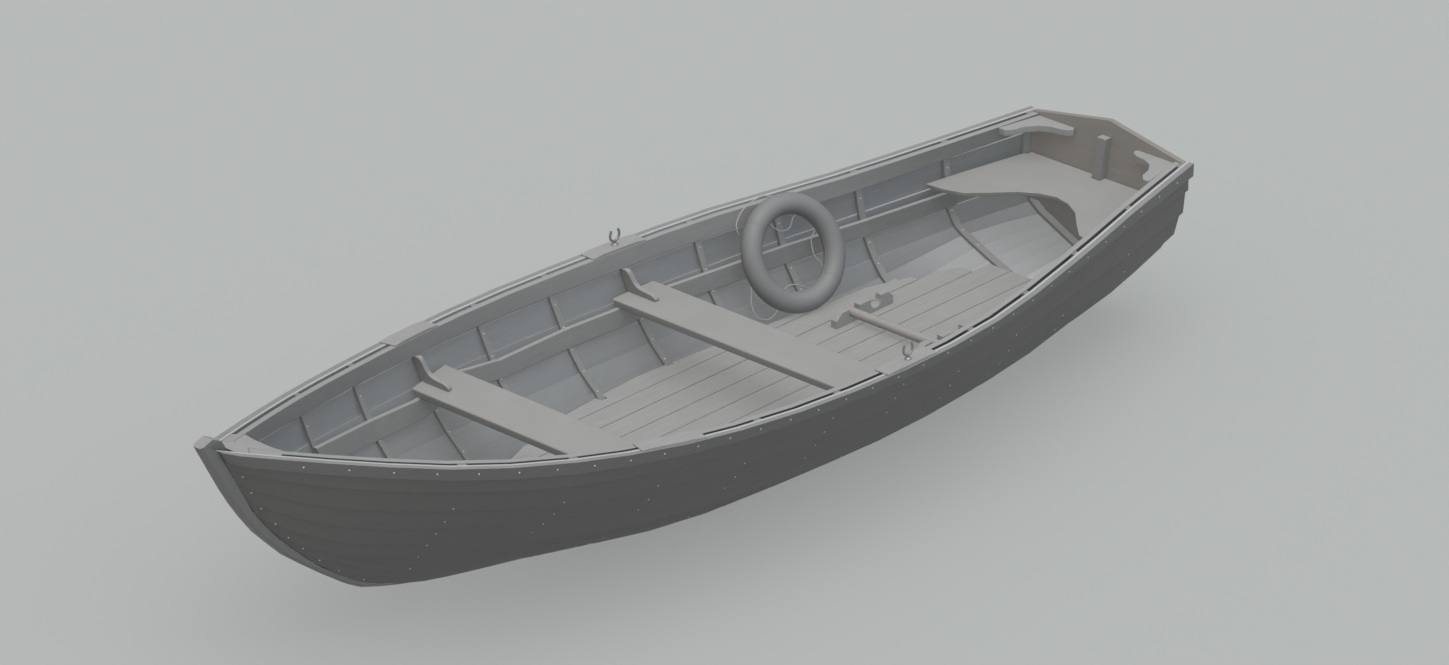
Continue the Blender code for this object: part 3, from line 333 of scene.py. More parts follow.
@dataclass(frozen=True)
class PaintedWood:
    """Satin paint on planed wood, with figure, brush marks, rubbed corners and dust; where given, a darker colour
    outboard that is part two-tone paint and part painted shade, and painted light on upward faces.
    """

    name: str
    colour: Colour
    grain: Grain
    figure: float = 0.10
    wear: float = 0.35
    dust: float = 0.12
    gloss: float = 0.52
    relief: float = 0.25
    # Darker colour for faces turned outboard and down: part two-tone paint, part painted shade.
    outboard_paint_and_shade: Colour | None = None
    # Lighter colour for upward faces: painted light from above, not a paint of its own.
    level: Colour | None = None

    def material(self, shop: PaintShop) -> bpy.types.Material:
        """Builds the material.

        Args:
            shop: The shared shader groups.

        Returns:
            The material.
        """
        made, tree, shader = start_material(self.name)
        place = wire(tree, "TexCoord")
        vector = place.outputs["Object"]
        figure = place_group(tree, shop.grain, Vector=vector, Stretch=self.grain.value, Size=3.2)
        film = place_group(tree, shop.brush, Vector=vector, Stretch=self.grain.value)
        rubbed = place_group(tree, shop.edges, Vector=vector, Reach=3.0 * MM)
        grime = place_group(tree, shop.grime, Vector=vector, Facing=place.outputs["Normal"])
        base = self._coat_with_painted_light(tree, place, figure.outputs["Shade"])
        patchy = mix_colour(tree, film.outputs["Patches"], shaded(self.colour, 0.90), shaded(self.colour, 1.08))
        soft = wire(tree, "MixRGB", blend_type="OVERLAY", Fac=0.18, Color1=base, Color2=patchy).outputs[0]
        worn_share = wire(tree, "Math", operation="MULTIPLY", in0=rubbed.outputs["Mask"], in1=self.wear).outputs[0]
        worn = mix_colour(tree, worn_share, soft, shaded(self.colour, 1.75))
        dust_share = wire(tree, "Math", operation="MULTIPLY", in0=grime.outputs["Dust"], in1=self.dust).outputs[0]
        dusty = mix_colour(tree, dust_share, worn, (0.46, 0.45, 0.43))
        tree.links.new(dusty, shader.inputs["Base Color"])
        rough = wire(tree, "MapRange", Value=film.outputs["Marks"], To_Min=self.gloss - 0.07, To_Max=self.gloss + 0.09)
        tree.links.new(rough.outputs[0], shader.inputs["Roughness"])
        height = wire(tree, "Math", operation="MULTIPLY_ADD", in0=film.outputs["Marks"], in1=0.5, in2=figure.outputs["Height"])
        bump = wire(tree, "Bump", Strength=self.relief, Distance=0.4 * MM, Height=height.outputs[0])
        tree.links.new(rubbed.outputs["Normal"], bump.inputs["Normal"])
        tree.links.new(bump.outputs[0], shader.inputs["Normal"])
        return made

    def _coat_with_painted_light(self, tree: bpy.types.NodeTree, place: bpy.types.ShaderNode, shade: bpy.types.NodeSocket) -> bpy.types.NodeSocket:
        """The paint over the figure; where given, a darker colour on faces turned outboard and down, part two-tone
        paint and part painted shade, and a lighter colour on upward faces, which is painted light from above.
        """
        inner = mix_colour(tree, shade, shaded(self.colour, 1.0 - self.figure), shaded(self.colour, 1.0 + self.figure))
        # Painted light: faces whose normal points up, such as lap ledges and tops, are mixed toward the lighter level
        # colour.
        if self.level is not None:
            rise = wire(tree, "SeparateXYZ", Vector=place.outputs["Normal"]).outputs["Z"]
            flat = wire(tree, "MapRange", Value=rise, From_Min=0.70, From_Max=1.0)
            inner = mix_colour(tree, flat.outputs[0], inner, self.level)
        if self.outboard_paint_and_shade is None:
            return inner
        outer = mix_colour(tree, shade, shaded(self.outboard_paint_and_shade, 1.0 - self.figure), shaded(self.outboard_paint_and_shade, 1.0 + self.figure))
        # Painted shade together with two-tone paint: faces turned outboard and down take the darker outboard colour.
        across = wire(tree, "SeparateXYZ", Vector=place.outputs["Object"]).outputs["Y"]
        facing = wire(tree, "SeparateXYZ", Vector=place.outputs["Normal"])
        away = wire(tree, "Math", operation="SIGN", in0=across)
        outward = wire(tree, "Math", operation="MULTIPLY", in0=away.outputs[0], in1=facing.outputs["Y"])
        under = wire(tree, "Math", operation="MULTIPLY_ADD", in0=facing.outputs["Z"], in1=-0.9, in2=outward.outputs[0])
        mask = wire(tree, "MapRange", Value=under.outputs[0], From_Min=-0.02, From_Max=0.08)
        return mix_colour(tree, mask.outputs[0], inner, outer)


@dataclass(frozen=True)
class DullMetal:
    """Galvanised or copper fastening metal, dull and a little mottled."""

    name: str
    colour: Colour
    metallic: float = 0.75
    gloss: float = 0.48

    def material(self, shop: PaintShop) -> bpy.types.Material:
        """Builds the material from the shared groups."""
        made, tree, shader = start_material(self.name)
        place = wire(tree, "TexCoord")
        mottle = place_group(tree, shop.casting, Vector=place.outputs["Object"], Size=240.0)
        tone = mix_colour(tree, mottle.outputs["Tone"], shaded(self.colour, 0.75), shaded(self.colour, 1.25))
        tree.links.new(tone, shader.inputs["Base Color"])
        shader.inputs["Metallic"].default_value = self.metallic
        rough = wire(tree, "MapRange", Value=mottle.outputs["Tone"], To_Min=self.gloss - 0.1, To_Max=self.gloss + 0.12)
        tree.links.new(rough.outputs[0], shader.inputs["Roughness"])
        bump = wire(tree, "Bump", Strength=0.3, Distance=0.3 * MM, Height=mottle.outputs["Tone"])
        tree.links.new(bump.outputs[0], shader.inputs["Normal"])
        return made


@dataclass(frozen=True)
class PaintedCanvas:
    """Painted canvas stretched round the ring, the weave just showing through the paint."""

    name: str
    colour: Colour
    threads: float = 900.0

    def material(self, shop: PaintShop) -> bpy.types.Material:
        """Builds the material from the shared groups."""
        made, tree, shader = start_material(self.name)
        place = wire(tree, "TexCoord")
        cloth = place_group(tree, shop.weave, Vector=place.outputs["UV"], Threads=self.threads)
        film = place_group(tree, shop.brush, Vector=place.outputs["Object"], Stretch=(4.0, 4.0, 4.0))
        tone = mix_colour(tree, film.outputs["Patches"], shaded(self.colour, 0.88), shaded(self.colour, 1.10))
        thread = mix_colour(tree, cloth.outputs["Height"], shaded(self.colour, 0.94), shaded(self.colour, 1.03))
        both = wire(tree, "MixRGB", blend_type="MULTIPLY", Fac=0.25, Color1=tone, Color2=thread).outputs[0]
        tree.links.new(both, shader.inputs["Base Color"])
        rough = wire(tree, "MapRange", Value=film.outputs["Marks"], To_Min=0.50, To_Max=0.68)
        tree.links.new(rough.outputs[0], shader.inputs["Roughness"])
        bump = wire(tree, "Bump", Strength=0.25, Distance=0.3 * MM, Height=cloth.outputs["Height"])
        tree.links.new(bump.outputs[0], shader.inputs["Normal"])
        return made


@dataclass(frozen=True)
class LaidFibre:
    """Fibres of a laid line."""

    name: str
    colour: Colour

    def material(self, shop: PaintShop) -> bpy.types.Material:
        """Builds the material from the shared groups."""
        made, tree, shader = start_material(self.name)
        place = wire(tree, "TexCoord")
        film = place_group(tree, shop.brush, Vector=place.outputs["Object"], Stretch=(30.0, 30.0, 30.0))
        tone = mix_colour(tree, film.outputs["Marks"], shaded(self.colour, 0.6), shaded(self.colour, 1.3))
        tree.links.new(tone, shader.inputs["Base Color"])
        shader.inputs["Roughness"].default_value = 0.9
        bump = wire(tree, "Bump", Strength=0.5, Distance=0.3 * MM, Height=film.outputs["Marks"])
        tree.links.new(bump.outputs[0], shader.inputs["Normal"])
        return made



def keep(name: str, bm: bmesh.types.BMesh, material: bpy.types.Material, body: str) -> bpy.types.Object:
    """Makes a bmesh an object at the origin that rides on a body.

    Args:
        name: The piece's name.
        bm: Its shape, already in place; freed here.
        material: Its finish.
        body: The body it moves with.

    Returns:
        The object.
    """
    mesh = bpy.data.meshes.new(name)
    bm.to_mesh(mesh)
    bm.free()
    mesh.materials.append(material)
    piece = bpy.data.objects.new(name, mesh)
    bpy.context.scene.collection.objects.link(piece)
    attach(piece, body)
    LOG.info("%s: %d faces on %s", name, len(mesh.polygons), body)
    return piece


def crease(bm: bmesh.types.BMesh, degrees: float) -> None:
    """Shades a bmesh smooth but for edges that turn by more than an angle."""
    limit = math.radians(degrees)
    for face in bm.faces:
        face.smooth = True
    for edge in bm.edges:
        edge.smooth = len(edge.link_faces) == 2 and edge.calc_face_angle(0.0) < limit


def merged_copy(node: str) -> bmesh.types.BMesh:
    """A CAD node's mesh with its loose triangles joined at their corners."""
    bm = bmesh.new()
    bm.from_mesh(NODES[node].data)
    bmesh.ops.remove_doubles(bm, verts=bm.verts, dist=0.01 * MM)
    return bm


def body_of(node: str) -> str:
    """The body that a CAD node rides on."""
    return NODES[node]["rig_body"]



@dataclass(frozen=True)
class Joinery:
    """A wooden member: the CAD node's shape with its corners eased, in its own paint."""

    node: str
    finish: PaintedWood
    slot: Slot
    ease: float = 2.0 * MM
    shade_angle: float = 32.0
    corner_angle: float = 50.0

    def build(self, paints: dict[str, bpy.types.Material]) -> bpy.types.Object:
        """Models the eased member, dresses it and hides its node.

        Args:
            paints: Materials by finish name.

        Returns:
            The piece.
        """
        bm = merged_copy(self.node)
        if self.ease > 0.0:
            limit = math.radians(self.corner_angle)
            corners = [e for e in bm.edges if len(e.link_faces) == 2 and e.is_convex and e.calc_face_angle(0.0) > limit]
            bmesh.ops.bevel(
                bm, geom=corners, offset=self.ease, offset_type="OFFSET", affect="EDGES", segments=2,
                profile=0.5, material=-1, clamp_overlap=True,
            )
        crease(bm, self.shade_angle)
        piece = keep(self.node + "_wood", bm, paints[self.finish.name], body_of(self.node))
        if self.ease > 0.0:
            flatten = piece.modifiers.new("even_faces", "WEIGHTED_NORMAL")
            flatten.keep_sharp = True
        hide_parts(self.node)
        return piece


# The hull's darker outboard colour is part two-tone paint, part painted shade; its level colour is painted light on lap
# ledges and the bottom.
HULL_PAINT = PaintedWood(
    "hull_paint", (0.262, 0.269, 0.274), Grain.FORE_AFT, figure=0.07, dust=0.05, outboard_paint_and_shade=(0.126, 0.121, 0.117),
    level=(0.52, 0.525, 0.53),
)
TRANSOM_PAINT = PaintedWood("transom_paint", (0.285, 0.27, 0.255), Grain.ATHWART, figure=0.08, dust=0.05)
# Painted light: the level colour lightens the upward faces of stem and keel.
STEM_PAINT = PaintedWood("stem_paint", (0.19, 0.187, 0.183), Grain.UPRIGHT, figure=0.07, level=(0.37, 0.365, 0.355))
# The rail's darker outboard colour is part two-tone paint, part painted shade on its outer face and underside.
RAIL_PAINT = PaintedWood("rail_paint", (0.275, 0.275, 0.273), Grain.FORE_AFT, figure=0.08, outboard_paint_and_shade=(0.15, 0.147, 0.143))
# Painted light: the level colour lightens the tops of inwales and risers.
INWALE_PAINT = PaintedWood("inwale_paint", (0.205, 0.207, 0.206), Grain.FORE_AFT, figure=0.08, level=(0.36, 0.36, 0.355))
KNEE_PAINT = PaintedWood("knee_paint", (0.345, 0.345, 0.34), Grain.FORE_AFT, figure=0.08)
TIMBER_PAINT = PaintedWood("timber_paint", (0.255, 0.257, 0.255), Grain.UPRIGHT, figure=0.07)
# Painted light: the level colour lightens the tops of seats, thwart knees and the transom post.
SEAT_PAINT = PaintedWood("seat_paint", (0.265, 0.262, 0.256), Grain.ATHWART, figure=0.08, level=(0.345, 0.342, 0.335))
FLOOR_PAINT = PaintedWood("floor_paint", (0.345, 0.343, 0.338), Grain.FORE_AFT, figure=0.09)
BAR_PAINT = PaintedWood("bar_paint", (0.35, 0.335, 0.32), Grain.ATHWART, figure=0.10)
ZINC = DullMetal("zinc", (0.30, 0.29, 0.28))
NAIL_METAL = DullMetal("nail_metal", (0.55, 0.55, 0.54), metallic=0.4, gloss=0.5)
COVER_PAINT = PaintedCanvas("cover_paint", (0.275, 0.277, 0.28))
LINE_FIBRE = LaidFibre("line_fibre", (0.42, 0.415, 0.40))
WHIPPING = LaidFibre("whipping_twine", (0.17, 0.17, 0.165))

TIMBER_COUNT = 11


def joinery_list() -> list[Joinery]:
    """Every wooden member with its paint and how far its corners are eased."""
    members = [
        Joinery("stem", STEM_PAINT, Slot.HULL, 3.0 * MM),
        Joinery("keel", STEM_PAINT, Slot.HULL, 3.0 * MM),
        Joinery("transom", TRANSOM_PAINT, Slot.TRANSOM, 2.0 * MM, 25.0),
        Joinery("transom_post", SEAT_PAINT, Slot.SEAT, 3.0 * MM),
        Joinery("breasthook", KNEE_PAINT, Slot.GUNWALE, 3.0 * MM),
        Joinery("stern_seat", SEAT_PAINT, Slot.SEAT, 2.5 * MM),
        Joinery("floorboards", FLOOR_PAINT, Slot.FLOOR, 1.2 * MM),
        Joinery("thwart_fore", SEAT_PAINT, Slot.SEAT, 3.5 * MM),
        Joinery("thwart_mid", SEAT_PAINT, Slot.SEAT, 3.5 * MM),
        Joinery("stretcher_bar", BAR_PAINT, Slot.FLOOR, 2.0 * MM, 40.0, 60.0),
    ]
    for side in SIDES:
        members += [
            Joinery("planking_" + side, HULL_PAINT, Slot.HULL, 0.0, 30.0),
            Joinery("rail_" + side, RAIL_PAINT, Slot.GUNWALE, 5.0 * MM),
            Joinery("inwale_" + side, INWALE_PAINT, Slot.GUNWALE, 3.0 * MM),
            Joinery("riser_" + side, INWALE_PAINT, Slot.SEAT, 2.0 * MM),
            Joinery("quarter_knee_" + side, KNEE_PAINT, Slot.GUNWALE, 3.0 * MM),
            Joinery("pad_fore_" + side, KNEE_PAINT, Slot.GUNWALE, 2.0 * MM),
            Joinery("pad_mid_" + side, KNEE_PAINT, Slot.GUNWALE, 2.0 * MM),
            Joinery("thwart_knee_fore_" + side, SEAT_PAINT, Slot.SEAT, 3.0 * MM),
            Joinery("thwart_knee_mid_" + side, SEAT_PAINT, Slot.SEAT, 3.0 * MM),
            Joinery("foot_rack_" + side, FLOOR_PAINT, Slot.FLOOR, 2.0 * MM),
        ]
    members += [Joinery(f"timber_{i:02d}", TIMBER_PAINT, Slot.TIMBER, 2.0 * MM) for i in range(1, TIMBER_COUNT + 1)]
    return members


@dataclass
class Fastenings:
    """Nails, roves and screws, found on the surfaces of the CAD nodes and set proud of them."""

    head: float = 4.2 * MM
    rise: float = 0.42
    rail_pitch: float = 0.160
    rail_from: float = -2.36
    rail_to: float = 2.62
    rove_pitch: float = 0.098
    trees: dict[str, BVHTree] = field(default_factory=dict)

    def tree(self, node: str) -> BVHTree:
        """The search tree of a node's surface, made once."""
        if node not in self.trees:
            bm = merged_copy(node)
            self.trees[node] = BVHTree.FromBMesh(bm)
            bm.free()
        return self.trees[node]

    def button(self, radius: float) -> bpy.types.Mesh:
        """A low domed head that stands up from the origin along Z."""
        bm = bmesh.new()
        bmesh.ops.create_uvsphere(bm, u_segments=10, v_segments=6, radius=radius)
        flat = bmesh.ops.bisect_plane(
            bm, geom=bm.verts[:] + bm.edges[:] + bm.faces[:], plane_co=(0, 0, -radius * 0.3), plane_no=(0, 0, -1), clear_outer=True
        )
        rim = [e for e in flat["geom_cut"] if isinstance(e, bmesh.types.BMEdge)]
        bmesh.ops.contextual_create(bm, geom=rim)
        bmesh.ops.scale(bm, vec=(1.0, 1.0, self.rise), verts=bm.verts)
        bmesh.ops.recalc_face_normals(bm, faces=bm.faces)
        for face in bm.faces:
            face.smooth = True
        mesh = bpy.data.meshes.new("button")
        bm.to_mesh(mesh)
        bm.free()
        return mesh

    def set_heads(self, name: str, spots: Sequence[tuple[Vector, Vector]], radius: float, paint: bpy.types.Material) -> None:
        """Sets one head at each spot, square to the surface there.

        Args:
            name: The piece that holds the heads.
            spots: Place and outward normal of each.
            radius: Radius of a head.
            paint: Finish.
        """
        if not spots:
            return
        head = self.button(radius)
        bm = bmesh.new()
        for place, normal in spots:
            first = len(bm.verts)
            bm.from_mesh(head)
            bm.verts.ensure_lookup_table()
            turn = normal.to_track_quat("Z", "Y").to_matrix().to_4x4()
            bmesh.ops.transform(bm, matrix=Matrix.Translation(place) @ turn, verts=bm.verts[first:])
        bpy.data.meshes.remove(head)
        keep(name, bm, paint, "boat")

    def first_hit(self, nodes: Sequence[str], start: Vector, heading: Vector) -> tuple[str, Vector, Vector] | None:
        """The nearest of some nodes along a ray, with the place and the normal that faces the ray."""
        best = None
        for node in nodes:
            place, normal, _, distance = self.tree(node).ray_cast(start, heading)
            if place is not None and (best is None or distance < best[0]):
                best = (distance, node, place, normal if normal.dot(heading) < 0 else -normal)
        return None if best is None else best[1:]

    def rail_rows(self, paint: bpy.types.Material) -> None:
        """A row of nails along the middle of each rail's outer face."""
        for side, sign in SIDES.items():
            spots = []
            count = int((self.rail_to - self.rail_from) / self.rail_pitch) + 1
            for i in range(count):
                x = self.rail_from + i * self.rail_pitch
                heading = Vector((0.0, -sign, 0.0))
                hits = []
                for step in range(240):
                    hit = self.first_hit(["rail_" + side], Vector((x, sign * 1.4, 0.3 + step * 0.0035)), heading)
                    if hit and abs(hit[2].z) < 0.5:
                        hits.append(hit[1:])
                if hits:
                    spots.append(hits[len(hits) // 2])
            self.set_heads(f"rail_nails_{side}", spots, self.head, paint)

    def girth(self, nodes: Sequence[str], x: float, sign: float, inside: bool, pitch: float, skip: float) -> list[tuple[Vector, Vector]]:
        """Spots at an even pitch round the hull's section at a station.

        Args:
            nodes: Nodes that may carry a spot; no other node is searched.
            x: The station.
            sign: 1 for starboard, -1 for port.
            inside: True to look from the inside out.
            pitch: Distance between spots along the section.
            skip: Distance from the first hit to the first spot.

        Returns:
            Place and normal of each spot.
        """
        centre = Vector((x, 0.0, 0.75))
        spots, last, travelled = [], None, pitch - skip
        for step in range(260):
            angle = math.radians(2.0 + step * 86.0 / 260)
            out = Vector((0.0, sign * math.cos(angle), -math.sin(angle)))
            start = centre if inside else centre + out * 2.0
            hit = self.first_hit(nodes, start, out if inside else -out)
            if hit is None:
                continue
            place, normal = hit[1], hit[2]
            if last is not None:
                travelled += (place - last).length
            last = place
            if travelled >= pitch:
                travelled = 0.0
                spots.append((place, normal))
        return spots

    def roves(self, paint: bpy.types.Material) -> None:
        """Roves on the inner face of each timber, and the nail heads opposite them on the planks."""
        for side, sign in SIDES.items():
            inner, outer = [], []
            for i in range(1, TIMBER_COUNT):
                node = f"timber_{i:02d}"
                low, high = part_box(node)
                x = (low.x + high.x) / 2
                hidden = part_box("floorboards")[1].z + 0.004
                found = self.girth([node], x, sign, True, self.rove_pitch, 0.03)
                inner += [s for s in found if s[0].z > hidden and self.clear(s[0], sign)]
                outer += [s for s in self.girth(["planking_" + side], x, sign, False, self.rove_pitch, 0.03) if abs(s[1].x) < 0.9]
            self.set_heads(f"timber_roves_{side}", inner, self.head * 0.9, paint)
            self.set_heads(f"plank_nails_{side}", outer, self.head * 0.75, paint)

    def clear(self, place: Vector, sign: float) -> bool:
        """True where nothing of the fittings covers a spot on a timber."""
        inboard = Vector((0.0, -sign, 0.25)).normalized()
        covers = ["riser_starboard", "riser_port", "inwale_starboard", "inwale_port", "thwart_fore", "thwart_mid", "stern_seat"]
        covers += ["thwart_knee_fore_port", "thwart_knee_fore_starboard", "thwart_knee_mid_port", "thwart_knee_mid_starboard"]
        return all(self.tree(n).ray_cast(place + inboard * 0.002, inboard, 0.05)[0] is None for n in covers)

    def hood_ends(self, paint: bpy.types.Material) -> None:
        """A nail through the end of each plank beside the stem."""
        for side, sign in SIDES.items():
            spots = []
            for step in range(11):
                z = 0.90 - step * 0.085
                for k in range(400):
                    x = -2.70 + k * 0.004
                    hit = self.first_hit(["planking_" + side, "stem", "rail_" + side], Vector((x, sign * 1.4, z)), Vector((0.0, -sign, 0.0)))
                    if hit and hit[0].startswith("planking"):
                        again = self.first_hit(["planking_" + side], Vector((x + 0.026, sign * 1.4, z)), Vector((0.0, -sign, 0.0)))
                        spots.append(again[1:])
                        break
            self.set_heads(f"hood_nails_{side}", spots, self.head * 0.75, paint)

    def floor_screws(self, paint: bpy.types.Material) -> None:
        """Two screws where each floorboard crosses a bearer."""
        board, bearers, boards = 0.268 * 0.45, (-0.864, 0.0257, 0.8865, 1.7537), 9
        spots = []
        for x in bearers:
            for b in range(boards):
                for off in (-0.035, 0.035):
                    y = (b - boards // 2) * board + off
                    hit = self.first_hit(["floorboards"], Vector((x, y, 0.2)), Vector((0.0, 0.0, -1.0)))
                    if hit and hit[1].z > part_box("floorboards")[1].z - 0.001:
                        spots.append((hit[1] - Vector((0.0, 0.0, 0.0009)), Vector((0.0, 0.0, 1.0))))
        self.set_heads("floor_screws", spots, 3.2 * MM, paint)

    def bench_screws(self, paint: bpy.types.Material) -> None:
        """Screws through the thwarts into the risers and through the stern seat into its bearers."""
        spots = []
        for node in ("thwart_fore", "thwart_mid"):
            low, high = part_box(node)
            for sign in SIDES.values():
                for share in (0.16, 0.84):
                    x = low.x + (high.x - low.x) * share
                    y = sign * (min(high.y, -low.y) - 0.045)
                    hit = self.first_hit([node], Vector((x, y, 0.8)), Vector((0.0, 0.0, -1.0)))
                    if hit and hit[2].z > 0.9:
                        spots.append((hit[1] - Vector((0.0, 0.0, 0.0009)), hit[2]))
        for x in (2.235, 2.545):
            for y in (-0.34, -0.2, -0.07, 0.07, 0.2, 0.34):
                hit = self.first_hit(["stern_seat"], Vector((x, y, 0.8)), Vector((0.0, 0.0, -1.0)))
                if hit and hit[1].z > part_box("stern_seat")[1].z - 0.001:
                    spots.append((hit[1] - Vector((0.0, 0.0, 0.0009)), hit[2]))
        self.set_heads("bench_screws", spots, 3.4 * MM, paint)

    def build(self, paints: dict[str, bpy.types.Material]) -> None:
        """Sets every kind of fastening."""
        nail = paints[NAIL_METAL.name]
        self.rail_rows(nail)
        self.roves(nail)
        self.hood_ends(nail)
        self.floor_screws(paints[FLOOR_PAINT.name])
        self.bench_screws(paints[SEAT_PAINT.name])


class Rowlocks:
    """The two rowlocks, each a smoothed casting on its own pin."""

    def build(self, paints: dict[str, bpy.types.Material]) -> None:
        """Models both sides."""
        for side in SIDES:
            node = "rowlock_" + side
            bm = merged_copy(node)
            crease(bm, 38.0)
            piece = keep(node + "_casting", bm, paints[ZINC.name], body_of(node))
            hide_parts(node)


@dataclass
class RingBuoy:
    """The canvas-covered ring and the grab rope in loops behind it."""

    spot: tuple[float, float, float] = (1.2618, 0.5337, 0.30438)
    turn: float = math.radians(80.76)
    lean: float = math.radians(26.74)
    radius: float = 0.2157
    tube: float = 0.0474
    tube_steps: int = 28
    round_steps: int = 112
    strand: float = 1.55 * MM
    strand_out: float = 1.6 * MM
    lay: float = 19.0 * MM
    space: float = 0.45
    route: tuple[tuple[float, float, float], ...] = (
        (31.0, 0.525, 0.112), (33.5, 0.622, 0.05), (41.0, 0.668, 0.04), (54.5, 0.663, 0.045), (72.0, 0.630, 0.05),
        (84.0, 0.597, 0.065), (84.5, 0.550, 0.096), (81.0, 0.482, 0.117), (78.0, 0.425, 0.110), (76.0, 0.335, 0.12),
        (87.0, 0.242, 0.12), (104.0, 0.226, 0.12), (119.0, 0.270, 0.12), (123.0, 0.385, 0.12), (136.0, 0.470, 0.118),
        (151.0, 0.475, 0.118), (161.0, 0.425, 0.12), (167.0, 0.345, 0.12), (183.0, 0.313, 0.12), (198.0, 0.330, 0.12),
        (207.0, 0.402, 0.12), (220.0, 0.465, 0.118), (240.0, 0.460, 0.118), (254.0, 0.373, 0.11), (273.0, 0.302, 0.10),
        (291.0, 0.325, 0.11), (297.0, 0.450, 0.118), (301.5, 0.577, 0.10), (306.5, 0.670, 0.10), (312.5, 0.713, 0.10),
        (319.5, 0.722, 0.10), (328.5, 0.657, 0.10), (336.5, 0.560, 0.105), (346.0, 0.490, 0.118), (0.0, 0.470, 0.118),
        (16.0, 0.485, 0.118),
    )

    def pose(self) -> Matrix:
        """The ring's place: X toward the bow, Y up the lean, Z outboard along its axis."""
        level = math.cos(self.lean)
        axis = Vector((level * math.cos(self.turn), level * math.sin(self.turn), -math.sin(self.lean)))
        fore = Vector((0.0, 0.0, 1.0)).cross(axis).normalized()
        turned = Matrix((fore, axis.cross(fore), axis)).transposed().to_4x4()
        return Matrix.Translation(Vector(self.spot)) @ turned

    def ring(self, paint: bpy.types.Material) -> None:
        """The ring, spun from a circle, with a UV map that follows its cover."""
        bm = bmesh.new()
        made = bmesh.ops.create_circle(bm, cap_ends=False, segments=self.tube_steps, radius=self.tube)
        upright = Matrix.Translation((self.radius, 0.0, 0.0)) @ Matrix.Rotation(math.pi / 2, 4, "X")
        bmesh.ops.transform(bm, matrix=upright, verts=made["verts"])
        bmesh.ops.spin(
            bm, geom=bm.verts[:] + bm.edges[:], cent=(0, 0, 0), axis=(0, 0, 1), angle=math.tau,
            steps=self.round_steps, use_merge=True,
        )
        bmesh.ops.remove_doubles(bm, verts=bm.verts, dist=0.02 * MM)
        bmesh.ops.recalc_face_normals(bm, faces=bm.faces)
        cover = bm.loops.layers.uv.new("cover")
        for face in bm.faces:
            face.smooth = True
            centre = face.calc_center_median()
            about = math.atan2(centre.y, centre.x)
            round_tube = math.atan2(centre.z, math.hypot(centre.x, centre.y) - self.radius)
            for loop in face.loops:
                spot = loop.vert.co
                along = near(math.atan2(spot.y, spot.x), about)
                across = near(math.atan2(spot.z, math.hypot(spot.x, spot.y) - self.radius), round_tube)
                loop[cover].uv = (along * self.radius, across * self.tube)
        bmesh.ops.transform(bm, matrix=self.pose(), verts=bm.verts)
        piece = keep("lifebuoy_cover", bm, paint, body_of("lifebuoy"))
        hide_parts("lifebuoy")

    def seams(self, paint: bpy.types.Material) -> None:
        """The cover's sewn seam round the inside of the ring and the four joins across it."""
        bm = bmesh.new()
        self.bead(bm, [self.on_tube(math.tau * i / 96, math.pi) for i in range(96)], 1.1 * MM)
        for quarter in range(4):
            about = math.tau * (quarter + 0.5) / 4
            self.bead(bm, [self.on_tube(about, math.tau * i / 32) for i in range(32)], 0.9 * MM)
        bmesh.ops.transform(bm, matrix=self.pose(), verts=bm.verts)
        keep("lifebuoy_seams", bm, paint, body_of("lifebuoy"))

    def on_tube(self, about: float, across: float) -> Vector:
        """A point on the cover."""
        out = self.radius + self.tube * math.cos(across)
        return Vector((out * math.cos(about), out * math.sin(about), self.tube * math.sin(across)))

    def bead(self, bm: bmesh.types.BMesh, loop: Sequence[Vector], thick: float, sides: int = 6) -> None:
        """Sweeps a closed round bead along a loop of points.

        Args:
            bm: Where the bead goes.
            loop: The closed loop.
            thick: The bead's radius.
            sides: Sides of the bead.
        """
        sweep(bm, loop, lambda at, side, up: [side * math.cos(math.tau * k / sides) * thick + up * math.sin(math.tau * k / sides) * thick for k in range(sides)])

    def route_points(self, per_knot: int) -> list[Vector]:
        """The rope's closed route in the ring's frame, eased between its knots."""
        spots = [Vector((r * math.cos(math.radians(a)), r * math.sin(math.radians(a)), h)) * self.space for a, r, h in self.route]
        count, points = len(spots), []
        for i in range(count):
            before, start, end, after = (spots[(i + d) % count] for d in (-1, 0, 1, 2))
            for step in range(per_knot):
                t = step / per_knot
                curve = start * 2 + (end - before) * t + (before * 2 - start * 5 + end * 4 - after) * t * t
                points.append((curve + (start * 3 - before - end * 3 + after) * t**3) * 0.5)
        return points

    def rope(self, paint: bpy.types.Material) -> None:
        """The grab rope, three strands laid round each other."""
        loop = self.route_points(26)
        length = sum((b - a).length for a, b in zip(loop, loop[1:] + loop[:1]))
        turns = round(length / self.lay)
        bm = bmesh.new()
        for strand in range(3):
            start = math.tau * strand / 3

            def section(at: float, side: Vector, up: Vector) -> list[Vector]:
                """Six points round the strand's middle at a share of the rope's length."""
                angle = start + math.tau * turns * at
                middle = (side * math.cos(angle) + up * math.sin(angle)) * self.strand_out
                return [middle + (side * math.cos(math.tau * k / 6) + up * math.sin(math.tau * k / 6)) * self.strand for k in range(6)]

            sweep(bm, loop, section)
        bmesh.ops.transform(bm, matrix=self.pose(), verts=bm.verts)
        piece = keep("grab_rope_strands", bm, paint, body_of("grab_rope"))
        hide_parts("grab_rope")
        LOG.info("grab rope: %.3f m in %d turns", length, turns)

